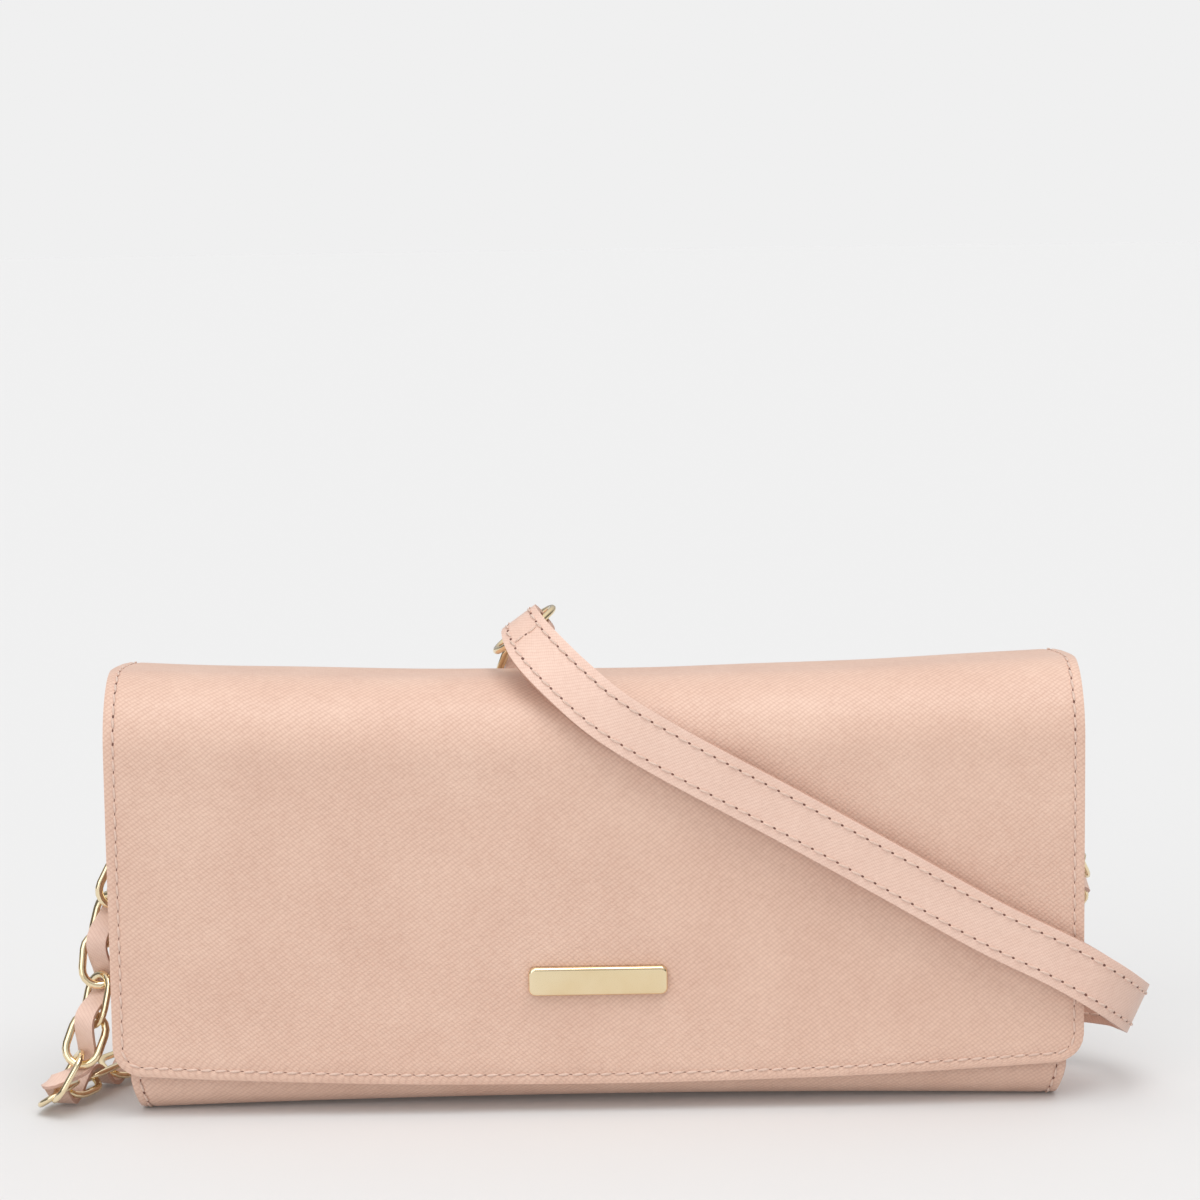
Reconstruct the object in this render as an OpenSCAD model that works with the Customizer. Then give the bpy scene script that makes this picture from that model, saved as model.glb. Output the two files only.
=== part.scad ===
// Flap wallet with a detachable strap: two woven chains and a leather middle.
// Millimetres. +Z up, the front faces -Y, the origin is under the body's centre.

/* [Body] */
// Width of the body, seam to seam
body_w = 228; // [200:1:260]
// Depth of the closed body, front panel to back panel
body_d = 34; // [30:1:44]
// Height of the closed wallet
body_h = 107; // [95:1:130]
// Thickness of the outer leather
leather_t = 1.6; // [1.2:0.1:2]
// Thickness of the lining
lining_t = 0.8; // [0.6:0.1:1]
// Outer radius of the two lower body edges
foot_r = 9; // [7:0.5:11]
// Height of the mouth, where the front panel ends
mouth_z = 93; // [80:1:96]
// Thickness of the bottom stiffener board
board_t = 1.2; // [0.8:0.1:1.6]

/* [Flap] */
// Width of the flap
flap_w = 235; // [204:1:270]
// Height of the flap's lower edge above the surface it stands on
flap_edge_z = 8.4; // [6:0.2:16]
// Gap between the flap's lining and the front panel
flap_gap = 1.8; // [1.7:0.1:2.6]
// Outer radius of the flap's front shoulder
shoulder_r = 18; // [14:0.5:20]
// Outer radius of the back top edge
nape_r = 8; // [7:0.5:9]
// Radius of the flap's lower corners
flap_corner_r = 7; // [3:0.5:12]
// Angle that the flap opens to
flap_open = 130; // [60:5:130]

/* [Gussets and pockets] */
// How far each gusset folds in from the seam
gusset_fold = 10; // [8:0.5:14]
// Thickness of the gusset leather
gusset_t = 1; // [0.8:0.1:1.2]
// Clear width inside the zip pocket
zip_pocket_gap = 5.2; // [4.8:0.1:6]
// Height of the zip pocket's walls
zip_pocket_z = 86; // [70:1:86]
// Space between the zip pocket and the floor lining
zip_pocket_lift = 2.4; // [1:0.2:6]
// Spacing of the zip's teeth
tooth_pitch = 2.4; // [2:0.1:3]
// Heights of the card pockets' top edges, back to front
card_z = [84, 70, 56];
// Width of the card pockets
card_w = 196; // [150:1:200]

/* [Closure and ornament] */
// Radius of the magnetic snap
snap_r = 7; // [5:0.5:8]
// Height of the snap's centre
snap_z = 40; // [30:1:50]
// Radius of the snap's nib
nib_r = 2.4; // [1.5:0.1:3]
// Clearance round the nib in its socket
nib_clear = 0.6; // [0.5:0.05:0.8]
// Width of the flap's bar ornament
plaque_w = 33.5; // [20:0.5:50]
// Height of the bar ornament
plaque_h = 7; // [4:0.5:12]
// Thickness of the bar ornament
plaque_t = 2; // [1:0.1:3]
// Height of the ornament's centre
plaque_z = 33; // [25:1:60]

/* [Strap] */
// Width of the leather strap
strap_w = 13; // [10:0.5:15]
// Thickness of the leather strap
strap_t = 2.2; // [1.6:0.1:2.4]
// Centre radius of each strap ring
ring_r = 8.65; // [8.4:0.05:9]
// Wire radius of each strap ring
ring_wire_r = 0.85; // [0.7:0.05:0.95]
// Outer length of a chain link
link_l = 14.5; // [14:0.1:15]
// Outer width of a chain link
link_w = 10; // [9.6:0.1:10.4]
// Wire radius of a chain link
link_wire_r = 0.9; // [0.7:0.05:0.95]
// Distance between links along the chain
link_pitch = 10; // [9.6:0.1:10.2]
// Tilt of each link out of the chain's plane, alternately each way
link_tilt = 25; // [22:1:30]
// Width of the ribbon woven through the links
ribbon_w = 4.8; // [4:0.1:5]
// Thickness of the ribbon
ribbon_t = 1; // [0.8:0.1:1.2]
// Wire radius of the D-rings
dee_wire_r = 0.9; // [0.7:0.05:1]
// Radius of a D-ring's bow
dee_r = 6; // [5.5:0.1:6.5]

/* [Hidden] */
$fn = 64;
eps = 0.01;
far = 400;
// Space between pieces on different bodies
clear = 0.3;

// Body
half_w = body_w / 2;
back_y = body_d / 2;
front_y = -body_d / 2;
wall_t = leather_t + lining_t;
foot_y = back_y - foot_r;
// Flap
flap_front_y = front_y - flap_gap - wall_t;
shoulder_y = flap_front_y + shoulder_r;
shoulder_z = body_h - shoulder_r;
nape_y = back_y - nape_r;
nape_z = body_h - nape_r;
// The flap's hinge line: middle of the wall, half way round the back top edge
hinge_y = nape_y + (nape_r - wall_t / 2) * cos(45);
hinge_z = nape_z + (nape_r - wall_t / 2) * sin(45);
// Where the back panel stops, so that the opened flap clears it
back_end_angle = 20;
// The flap's lining starts past the hinge barrel
lining_start_angle = 62;
// The front panel's hinge line, under the body
front_hinge_y = -foot_y;
front_hinge_z = leather_t / 2;
// Inside
floor_z = leather_t + board_t + lining_t;
fold_x = half_w - gusset_fold;
fold_flat = 1.2;
gusset_end = 1;
zip_wall_y = zip_pocket_gap / 2;
pocket_half_w = fold_x - gusset_t - 1;
teeth_z = zip_pocket_z - 0.4;
slider_x = pocket_half_w - 10;
pin_z = teeth_z + 3.6;
washer_t = 0.4;
post_x = plaque_w / 2 - 6;
// D-rings and clasps
dee_x = fold_x + 3.2;
dee_z = mouth_z - 5;
hook_r = 3.4;
hook_wire_r = 1;
hook_x = dee_x + dee_r * cos(60);
hook_z = dee_z - dee_r * sin(60) - (hook_r - (hook_wire_r + dee_wire_r + 0.2) / cos(30));
eye_r = 2.4;
eye_wire_r = 0.7;
eye_z = hook_z - 12;
gate_from = 150;
gate_to = 222;
// Angles left open between the gate's tip and the hook's nose, and at the gate's pivot
nose_gap = 15;
pivot_gap = 8;

// Route of the left chain, from its clasp to the upper ring
left_route = [
  [-111.5, 0, 70], [-113.5, -1, 62], [-118.5, -3, 52], [-121.5, -6, 40], [-122.5, -9.5, 28],
  [-125.5, -13.5, 17], [-130, -16.5, 8.5], [-132.5, -13, 4.6], [-130.5, -5, 4.3], [-126, 4.5, 4.3],
  [-121.5, 14, 4.3], [-116, 22, 4.3], [-108, 28, 4.5], [-97, 31.5, 6], [-86, 32.5, 11],
  [-75, 32, 20], [-62, 31, 34], [-49, 29.5, 51], [-38, 28, 68], [-29, 26.5, 84],
  [-22, 24.5, 97], [-18.2, 22, 106.5], [-16.9, 19, 111.5], [-16.2, 15.4, 114.1]
];
// Direction that the left chain's flat side faces at each point
left_faces = [
  [0, -1, 0], [0, -1, 0], [-0.2, -1, 0], [-0.3, -1, 0.1], [-0.4, -1, 0.2],
  [-0.4, -0.8, 0.5], [-0.5, -0.4, 0.8], [-0.2, 0, 1], [0, 0, 1], [0, 0, 1],
  [0, 0, 1], [0, 0, 1], [0, 0.2, 1], [0, 0.6, 0.8], [0, 1, 0.3],
  [0, 1, 0], [0, 1, 0], [0, 1, 0], [0, 1, 0], [0, 1, 0],
  [0, 1, 0.2], [0, 1, 0.4], [0, 0.8, 0.7], [0, 0.6, 0.8]
];
// Route of the right chain, from its clasp to the lower ring
right_route = [
  [111.5, 0, 70], [116, 2.5, 62], [120, 6.5, 54.5], [120.5, 13, 48.5], [118.5, 20, 43],
  [111.5, 27, 37], [102, 32, 29], [91, 34.5, 19], [80, 35.5, 10.5], [69, 35.5, 5.5],
  [56, 36, 4.3], [40, 37.5, 4.3], [20, 39.5, 4.3], [0, 41.5, 4.3], [-20, 43, 4.3],
  [-38, 44, 4.3], [-54, 44.5, 4.3], [-67, 42.5, 4.3], [-74, 36.5, 4.6], [-73, 30, 6.4],
  [-68, 27.6, 8.8], [-64.2, 26.6, 10]
];
// Direction that the right chain's flat side faces at each point
right_faces = [
  [0.6, -0.8, 0], [1, -0.3, 0], [1, 0, 0], [1, 0.2, 0], [0.8, 0.6, 0.2],
  [0.4, 0.9, 0.3], [0.1, 1, 0.3], [0, 1, 0.4], [0, 0.8, 0.7], [0, 0.3, 1],
  [0, 0, 1], [0, 0, 1], [0, 0, 1], [0, 0, 1], [0, 0, 1],
  [0, 0, 1], [0, 0, 1], [0, 0, 1], [0, 0, 1], [-0.4, -0.2, 0.9],
  [-0.2, -0.8, 0.5], [0, -1, 0.1]
];
// Route of the leather strap: its folded end under the upper ring, over the flap,
// round the right side, along the back and round the lower ring
strap_route = [
  [-9, -14.1, 107.1], [-15.5, -5.8, 112.2], [-15, -0.4, 112.9], [-16.7, 2.3, 115],
  [-18.4, -0.4, 117.1], [-18.2, -4.4, 116.8], [-16.3, -9, 114.7], [-13, -13.4, 111.6], [-6, -19, 105.3],
  [4, -23, 97.3], [20, -24.5, 87.6], [46, -25.5, 73.3], [70, -26, 59.6], [94, -25.6, 45.6],
  [111, -24.6, 36.8], [122, -21.8, 29.8], [130, -13.5, 23], [132.4, -2, 19.4], [129.4, 10, 18.2],
  [119.5, 18.6, 17.4], [105, 20.4, 15.6], [88, 20, 13], [70, 19.4, 10.4], [50, 19, 8],
  [28, 19, 7.1], [4, 19.2, 7], [-18, 20.6, 7.2], [-33, 24.2, 8], [-43, 28.2, 9.5],
  [-48.3, 28.6, 10], [-51.3, 26, 10], [-48.3, 23.4, 10], [-43, 23.8, 9.5], [-33, 21.6, 8]
];
// Direction that the strap's outer face looks at each point
strap_faces = [
  [0.22, 0.76, -0.6], [0.5, 0.35, -0.79], [0.59, 0, -0.81], [0, 1, 0],
  [-0.59, 0, 0.81], [-0.58, -0.2, 0.79], [-0.45, -0.45, 0.77], [-0.3, -0.65, 0.7], [-0.15, -0.87, 0.47],
  [-0.05, -0.97, 0.2], [0, -1, 0.05], [0, -1, 0], [0, -1, 0], [0, -1, 0],
  [0.1, -1, -0.05], [0.45, -0.85, -0.15], [0.8, -0.45, -0.35], [0.9, 0, -0.42], [0.75, 0.6, -0.25],
  [0.35, 0.93, -0.05], [0, 1, 0], [0, 1, 0], [0, 1, 0], [0, 1, 0],
  [0, 1, 0], [0, 1, 0], [0.15, 1, 0], [0.3, 1, 0], [0.2, 1, 0],
  [0, 1, 0], [-1, 0, 0], [0, -1, 0], [-0.2, -1, 0], [-0.3, -1, 0]
];
upper_ring_at = [-16.7, 5, 115];
upper_ring_lean = 36;
lower_ring_at = [-54, 26, 10];
// Length of bare ribbon between the last link and the strap's ring
ring_gap = 5;
// Clearance of a ribbon's end loop round the curved ring wire
loop_clear = 0.45;

// ---- Curves ----

// Point on a smooth curve through p0..p3, between p1 and p2
function spline(p0, p1, p2, p3, u) =
  0.5 * (2 * p1 + (p2 - p0) * u + (2 * p0 - 5 * p1 + 4 * p2 - p3) * u * u
    + (3 * p1 - p0 - 3 * p2 + p3) * u * u * u);
// The same curve through a whole list of points, cut into steps
function smooth(points, steps) = [
  for (i = [0 : len(points) - 2], k = [0 : steps - 1])
    spline(points[max(i - 1, 0)], points[i], points[i + 1],
      points[min(i + 2, len(points) - 1)], k / steps),
  points[len(points) - 1]
];
// Distance along a list of points to each of them
function distances(points, i = 0, sum = 0) =
  i == len(points) ? []
  : let (next = i == 0 ? 0 : sum + norm(points[i] - points[i - 1]))
    concat([next], distances(points, i + 1, next));
// Value at distance s along a list of vectors
function along(stations, vectors, s) = [
  for (axis = [0 : 2]) lookup(s, [for (i = [0 : len(vectors) - 1]) [stations[i], vectors[i][axis]]])
];
function unit(v) = v / norm(v);
// Distance along a chain's route from its clasp to the end of its last link
function chain_length(stations) = stations[len(stations) - 1] - ring_gap;
// Number of links that fill a chain, and the spacing that spreads them evenly
function link_count(stations) = round((chain_length(stations) - link_l) / link_pitch) + 1;
function link_spacing(stations) = (chain_length(stations) - link_l) / (link_count(stations) - 1);
// Frame at distance s: [position, forward, side, face]
function frame_at(points, stations, faces, s) =
  let (
    at = along(stations, points, s),
    forward = unit(along(stations, points, s + 0.5) - along(stations, points, s - 0.5)),
    raw = along(stations, faces, s),
    face = unit(raw - (raw * forward) * forward)
  ) [at, forward, cross(face, forward), face];
// Rigid placement that puts X forward, Y to the side and Z to the face
function placement(f) = [
  [f[1][0], f[2][0], f[3][0], f[0][0]],
  [f[1][1], f[2][1], f[3][1], f[0][1]],
  [f[1][2], f[2][2], f[3][2], f[0][2]],
  [0, 0, 0, 1]
];

smooth_steps = 6;
left_curve = smooth(left_route, smooth_steps);
left_curve_faces = smooth(left_faces, smooth_steps);
left_stations = distances(left_curve);
right_curve = smooth(right_route, smooth_steps);
right_curve_faces = smooth(right_faces, smooth_steps);
right_stations = distances(right_curve);

// ---- Outlines, drawn as depth (Y) against height (Z) ----

// Stands an outline of depth and height up, extruded across the width
module across(width) {
  rotate([90, 0, 90]) translate([0, 0, -width / 2]) linear_extrude(width) children();
}
// Outline of the body, set in by a thickness, open above
module body_outline(inset) {
  translate([front_y + inset, foot_r]) square([body_d - 2 * inset, far]);
  translate([-foot_y, inset]) square([2 * foot_y, foot_r]);
  translate([-foot_y, foot_r]) circle(foot_r - inset);
  translate([foot_y, foot_r]) circle(foot_r - inset);
}
// Outline of the flap, set in by a thickness, open below
module flap_outline(inset) {
  translate([flap_front_y + inset, -far]) square([back_y - flap_front_y - 2 * inset, far + shoulder_z]);
  translate([shoulder_y, shoulder_z - eps]) square([back_y - inset - shoulder_y, nape_z - shoulder_z + eps]);
  translate([shoulder_y, nape_z - eps]) square([nape_y - shoulder_y, nape_r - inset + eps]);
  translate([shoulder_y, shoulder_z]) circle(shoulder_r - inset);
  translate([nape_y, nape_z]) circle(nape_r - inset);
}
// Layer between two insets of the flap's outline
module flap_layer(outer, inner) {
  difference() {
    flap_outline(outer);
    flap_outline(inner);
  }
}
// Layer between two insets of the back and bottom outline
module body_layer(outer, inner) {
  difference() {
    intersection() { body_outline(outer); flap_outline(outer); }
    intersection() { body_outline(inner); flap_outline(inner); }
  }
}
// Everything on the flap's side of a ray from the nape's centre
module flap_side(angle, low_z) {
  translate([-far, low_z]) square([far + nape_y, far]);
  polygon([[nape_y, nape_z], [nape_y + far * cos(angle), nape_z + far * sin(angle)], [nape_y, nape_z + far]]);
}
// Everything behind the body's middle and below the back panel's end
module back_side(from_y, low_z) {
  translate([from_y, low_z]) square([far, nape_z - low_z]);
  polygon([[nape_y, nape_z], [nape_y + far, nape_z], [nape_y + far, nape_z + far * tan(back_end_angle)]]);
}
// A disc lying in the front wall, its axis along Y
module wall_disc(r, from_y, thickness, x, z) {
  translate([x, from_y + thickness, z]) rotate([90, 0, 0]) cylinder(r = r, h = thickness);
}

// ---- Shell ----

leather_colour = [0.88, 0.73, 0.66];
lining_colour = [0.8, 0.66, 0.6];
gold_colour = [0.9, 0.78, 0.55];

module back_panel() color(leather_colour) {
  across(body_w) {
    intersection() {
      body_layer(0, leather_t);
      back_side(front_hinge_y + leather_t / 2 + clear, -eps);
    }
  }
}
module back_lining() color(lining_colour) {
  across(body_w - 2) {
    intersection() {
      body_layer(leather_t, wall_t);
      back_side(0, foot_r);
    }
  }
}
module bottom_board() color("tan") {
  length = body_w - 12;
  depth = 2 * foot_y - 2;
  translate([-length / 2, -foot_y + 2, leather_t]) cube([length, depth, board_t]);
}
module bottom_lining() color(lining_colour) {
  length = body_w - 12;
  depth = 2 * foot_y - 2;
  translate([-length / 2, -foot_y + 2, leather_t + board_t]) cube([length, depth, lining_t]);
}
module front_panel() color(leather_colour) {
  difference() {
    across(body_w) {
      intersection() {
        difference() {
          body_outline(0);
          body_outline(leather_t);
        }
        translate([-far + front_hinge_y, -far]) square([far, far + mouth_z]);
      }
      translate([front_hinge_y, front_hinge_z]) circle(leather_t / 2);
    }
    wall_disc(nib_r + nib_clear, front_y - eps, leather_t + 2 * eps, 0, snap_z);
  }
}
module front_lining() color(lining_colour) {
  length = body_w - 2;
  difference() {
    translate([-length / 2, front_y + leather_t, foot_r]) cube([length, lining_t, mouth_z - foot_r]);
    wall_disc(snap_r, front_y + leather_t - eps, washer_t + eps, 0, snap_z);
  }
}

// ---- Flap ----

// Front view mask that rounds the flap's lower corners
module flap_mask() {
  r = flap_corner_r;
  rotate([90, 0, 0]) translate([0, 0, -far / 2]) linear_extrude(far) {
    translate([-flap_w / 2, flap_edge_z + r]) square([flap_w, far]);
    translate([-flap_w / 2 + r, flap_edge_z]) square([flap_w - 2 * r, far]);
    for (side = [-1, 1]) translate([side * (flap_w / 2 - r), flap_edge_z + r]) circle(r);
  }
}
module flap() color(leather_colour) {
  difference() {
    intersection() {
      across(flap_w) {
        intersection() {
          flap_layer(0, leather_t);
          flap_side(45, flap_edge_z);
        }
        translate([hinge_y, hinge_z]) circle(wall_t / 2);
      }
      flap_mask();
    }
    for (side = [-1, 1])
      wall_disc(1, flap_front_y - eps, leather_t + 2 * eps, side * post_x, plaque_z);
  }
}
module flap_lining() color(lining_colour) {
  difference() {
    intersection() {
      across(flap_w - 1) {
        intersection() {
          flap_layer(leather_t, wall_t);
          flap_side(lining_start_angle, flap_edge_z);
        }
      }
      flap_mask();
    }
    for (side = [-1, 1])
      wall_disc(3, flap_front_y + leather_t - eps, washer_t + eps, side * post_x, plaque_z);
    wall_disc(snap_r - 1, flap_front_y + leather_t - eps, washer_t + eps, 0, snap_z);
    wall_disc(nib_r, flap_front_y + leather_t, lining_t + eps, 0, snap_z);
  }
}

// ---- Closure and ornament ----

snap_rise = flap_gap / 2 - 0.2;
module snap_socket() color(gold_colour) {
  difference() {
    union() {
      wall_disc(snap_r, front_y - snap_rise, snap_rise, 0, snap_z);
      wall_disc(nib_r + nib_clear, front_y - eps, leather_t + eps, 0, snap_z);
    }
    wall_disc(nib_r + nib_clear - 0.5, front_y - snap_rise - eps, snap_rise + leather_t + 3 * eps, 0, snap_z);
  }
}
module snap_socket_washer() color("silver") {
  wall_disc(snap_r - 0.5, front_y + leather_t, washer_t, 0, snap_z);
}
module snap_stud() color(gold_colour) {
  inner_y = flap_front_y + wall_t;
  wall_disc(nib_r - 0.6, inner_y, flap_gap - 0.2, 0, snap_z);
  wall_disc(snap_r - 0.5, inner_y, snap_rise, 0, snap_z);
  wall_disc(nib_r, flap_front_y + leather_t + washer_t, wall_t - leather_t - washer_t + eps, 0, snap_z);
}
module snap_stud_washer() color("silver") {
  wall_disc(snap_r - 1.5, flap_front_y + leather_t, washer_t, 0, snap_z);
}
module plaque() color(gold_colour) {
  corner = 1.2;
  back = flap_front_y;
  translate([0, back, plaque_z]) rotate([90, 0, 0]) linear_extrude(plaque_t) {
    square([plaque_w - 2 * corner, plaque_h], center = true);
    square([plaque_w, plaque_h - 2 * corner], center = true);
    for (x = [-1, 1], z = [-1, 1])
      translate([x * (plaque_w / 2 - corner), z * (plaque_h / 2 - corner)]) circle(corner);
  }
  for (side = [-1, 1]) wall_disc(1, back - eps, leather_t + eps, side * post_x, plaque_z);
}
module plaque_washers() color("silver") {
  for (side = [-1, 1]) wall_disc(2.8, flap_front_y + leather_t, washer_t, side * post_x, plaque_z);
}

// ---- Inside ----

module card_pocket(index) color(lining_colour) {
  from_y = back_y - wall_t - (index + 1) * lining_t;
  translate([-card_w / 2, from_y, foot_r]) cube([card_w, lining_t, card_z[index] - foot_r]);
}
// Gusset folded in between the front and the back, drawn from above for the right side
module gusset() color(leather_colour) {
  back_leg = back_y - wall_t;
  front_leg = front_y + wall_t + clear;
  outer = [[half_w - gusset_end, back_leg], [fold_x, fold_flat], [fold_x, -fold_flat],
    [half_w - gusset_end, front_leg]];
  inner = [for (i = [3 : -1 : 0]) outer[i] - [gusset_t * 1.1, 0]];
  intersection() {
    linear_extrude(mouth_z) polygon(concat(outer, inner));
    across(2 * body_w)
      translate([front_leg, foot_r]) square([back_leg - front_leg, far]);
  }
}
module zip_pocket() color(lining_colour) {
  width = 2 * pocket_half_w;
  low_z = floor_z + zip_pocket_lift;
  for (side = [-1, 1])
    translate([-width / 2, side * (zip_wall_y + lining_t / 2) - lining_t / 2, low_z])
      cube([width, lining_t, zip_pocket_z - low_z]);
  translate([-width / 2, -zip_wall_y, low_z]) cube([width, zip_pocket_gap, lining_t]);
}
module zip_tapes() color(leather_colour) {
  tape_t = 0.6;
  width = 2 * pocket_half_w - 2;
  for (side = [-1, 1]) {
    translate([-width / 2, side * (zip_wall_y - tape_t / 2) - tape_t / 2, zip_pocket_z - 9])
      cube([width, tape_t, 9]);
    translate([-width / 2, side * (zip_wall_y + 0.9) / 2 - (zip_wall_y - 0.9) / 2, zip_pocket_z - 0.6 - tape_t])
      cube([width, zip_wall_y - 0.9, tape_t]);
  }
}
module zip_teeth() color(gold_colour) {
  length = 2 * pocket_half_w - 12;
  translate([-length / 2, -0.9, teeth_z - 0.8]) cube([length, 1.8, 0.8]);
  count = floor(length / tooth_pitch);
  for (i = [0 : count - 1])
    translate([(i - (count - 1) / 2) * tooth_pitch - 0.6, -1.3, teeth_z - 0.2]) cube([1.2, 2.6, 0.8]);
}
module zip_end_stops() color(gold_colour) {
  for (side = [-1, 1])
    translate([side * (pocket_half_w - 4.5) - 1, -1.6, zip_pocket_z - 0.6]) cube([2, 3.2, 1.2]);
}
module zip_slider() color(gold_colour) {
  plate_z = teeth_z + 1;
  translate([slider_x - 4.5, -2.4, plate_z]) cube([9, 4.8, 1]);
  for (side = [-1, 1]) {
    translate([slider_x - 4.5, side * 2.1 - 0.3, plate_z - 0.5]) cube([9, 0.6, 0.6]);
    translate([slider_x - 1, side * 1.9 - 0.3, plate_z + 0.9]) cube([2, 0.6, pin_z - plate_z]);
  }
  translate([slider_x, 2, pin_z]) rotate([90, 0, 0]) cylinder(r = 0.6, h = 4);
}
module zip_puller() color(gold_colour) {
  difference() {
    union() {
      translate([slider_x, 1.2, pin_z]) rotate([90, 0, 0]) cylinder(r = 1.3, h = 2.4);
      translate([slider_x - 13, -1.2, pin_z - 0.5]) cube([13, 2.4, 1]);
      translate([slider_x - 13, 0, pin_z - 0.5]) cylinder(r = 2.4, h = 1);
    }
    translate([slider_x, 2, pin_z]) rotate([90, 0, 0]) cylinder(r = 0.68, h = 4);
    translate([slider_x - 13, 0, pin_z - 1]) cylinder(r = 1, h = 2);
  }
}

// ---- Strap anchors, drawn for the right side ----

module tab() color(leather_colour) {
  height = 8;
  difference() {
    union() {
      translate([fold_x, -1, dee_z - height / 2]) cube([dee_x - fold_x, 2, height]);
      translate([dee_x, 0, dee_z - height / 2]) cylinder(r = dee_wire_r + 1, h = height);
    }
    translate([dee_x, 0, dee_z - height]) cylinder(r = dee_wire_r + 0.05, h = 2 * height);
  }
}
module d_ring() color(gold_colour) {
  translate([dee_x, 0, dee_z]) {
    translate([0, 0, -dee_r]) cylinder(r = dee_wire_r, h = 2 * dee_r);
    for (end = [-1, 1]) translate([0, 0, end * dee_r]) sphere(dee_wire_r);
    rotate([90, 0, 0]) rotate([0, 0, -90]) rotate_extrude(angle = 180) translate([dee_r, 0]) circle(dee_wire_r);
  }
}
// Arc of the hook's wire between two angles, in the plane of depth and height
module hook_arc(from, to) {
  translate([hook_x, 0, hook_z]) rotate([90, 0, 90]) rotate([0, 0, from])
    rotate_extrude(angle = to - from) translate([hook_r, 0]) circle(hook_wire_r);
}
module clasp() color(gold_colour) {
  hook_arc(gate_to + pivot_gap - 360, gate_from - nose_gap);
  translate([hook_x, 0, hook_z - hook_r - 4]) cylinder(r = 1.2, h = 4);
  translate([hook_x, 0, hook_z - hook_r - 5]) cylinder(r = 1.9, h = 2.5);
}
module clasp_gate() color(gold_colour) {
  hook_arc(gate_from, gate_to);
}
module swivel(turn) color(gold_colour) {
  translate([hook_x, 0, hook_z - hook_r - 5 - 1.2]) cylinder(r = 1.3, h = 1.2);
  translate([hook_x, 0, eye_z]) rotate([0, 0, turn]) rotate([90, 0, 0])
    rotate_extrude() translate([eye_r, 0]) circle(eye_wire_r);
}

// ---- Chain, ribbon and strap ----

module link() {
  arc_r = link_w / 2 - link_wire_r;
  side_l = link_l - link_w;
  for (end = [0, 1])
    rotate([0, 0, 180 * end]) translate([side_l / 2, 0, 0]) rotate([0, 0, -90])
      rotate_extrude(angle = 180) translate([arc_r, 0]) circle(link_wire_r);
  for (side = [-1, 1])
    translate([-side_l / 2, side * arc_r, 0]) rotate([0, 90, 0]) cylinder(r = link_wire_r, h = side_l);
}
module chain(curve, faces, stations) color(gold_colour) {
  for (i = [0 : link_count(stations) - 1]) {
    tilt = i % 2 == 0 ? link_tilt : -link_tilt;
    s = link_l / 2 - link_wire_r + i * link_spacing(stations);
    multmatrix(placement(frame_at(curve, stations, faces, s))) rotate([tilt, 0, 0]) link();
  }
}
// Flat strip swept along frames
module strip(frames, width, thickness) {
  count = len(frames);
  corners = [[-1, -1], [1, -1], [1, 1], [-1, 1]];
  points = [for (f = frames, c = corners)
    f[0] + f[2] * c[0] * width / 2 + f[3] * c[1] * thickness / 2];
  sides = [for (i = [0 : count - 2], k = [0 : 3], half = [0, 1])
    let (a = 4 * i + k, b = 4 * i + (k + 1) % 4)
      half == 0 ? [a, b + 4, b] : [a, a + 4, b + 4]];
  last = 4 * (count - 1);
  polyhedron(points, concat(sides, [[1, 2, 3], [0, 1, 3], [last + 2, last + 1, last], [last + 3, last + 2, last]]));
}
// Ribbon woven over one joint between links and under the next
module ribbon(curve, faces, stations) color(leather_colour) {
  step = 1.5;
  start = 3;
  fade = 9;
  length = stations[len(stations) - 1] - ribbon_t - clear;
  first = link_l / 2 - link_wire_r;
  count = floor((length - start) / step);
  spacing = link_spacing(stations);
  weave = link_w / 2 - link_wire_r - 0.8;
  strip([for (i = [0 : count])
    let (s = start + i * (length - start) / count, f = frame_at(curve, stations, faces, s),
      rise = weave * min(1, (length - s) / fade) * cos(180 * (s - first - spacing / 2) / spacing))
      [f[0] + f[3] * rise, f[1], f[2], f[3]]], ribbon_w, ribbon_t);
}
// The ribbon's end, looped round a ring's wire that runs along Z here
module ribbon_loop() color(leather_colour) {
  loop_r = ring_wire_r + loop_clear;
  difference() {
    translate([0, 0, -ribbon_w / 2]) cylinder(r = loop_r + ribbon_t, h = ribbon_w);
    translate([0, 0, -ribbon_w]) cylinder(r = loop_r, h = 2 * ribbon_w);
  }
}
module leather_strap() color(leather_colour) {
  curve = smooth(strap_route, 4);
  faces = smooth(strap_faces, 4);
  stations = distances(curve);
  strip([for (i = [0 : len(curve) - 1])
    frame_at(curve, stations, faces, max(0.6, min(stations[i], stations[len(curve) - 1] - 0.6)))],
    strap_w, strap_t);
}
module strap_ring() color(gold_colour) {
  rotate_extrude() translate([ring_r, 0]) circle(ring_wire_r);
}

back_panel();
bottom_board();
bottom_lining();
back_lining();
card_pocket(0);  // card_pocket_top
card_pocket(1);  // card_pocket_middle
card_pocket(2);  // card_pocket_bottom
mirror([1, 0, 0]) gusset();  // gusset_left
gusset();  // gusset_right
zip_pocket();
zip_tapes();
zip_teeth();
zip_end_stops();
zip_slider();
zip_puller();
front_panel();
front_lining();
snap_socket();
snap_socket_washer();
flap();
flap_lining();
snap_stud();
snap_stud_washer();
plaque();
plaque_washers();
mirror([1, 0, 0]) tab();  // tab_left
tab();  // tab_right
mirror([1, 0, 0]) d_ring();  // d_ring_left
d_ring();  // d_ring_right
mirror([1, 0, 0]) clasp();  // clasp_left
clasp();  // clasp_right
mirror([1, 0, 0]) clasp_gate();  // clasp_gate_left
clasp_gate();  // clasp_gate_right
mirror([1, 0, 0]) swivel(90);  // swivel_left
swivel(0);  // swivel_right
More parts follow.
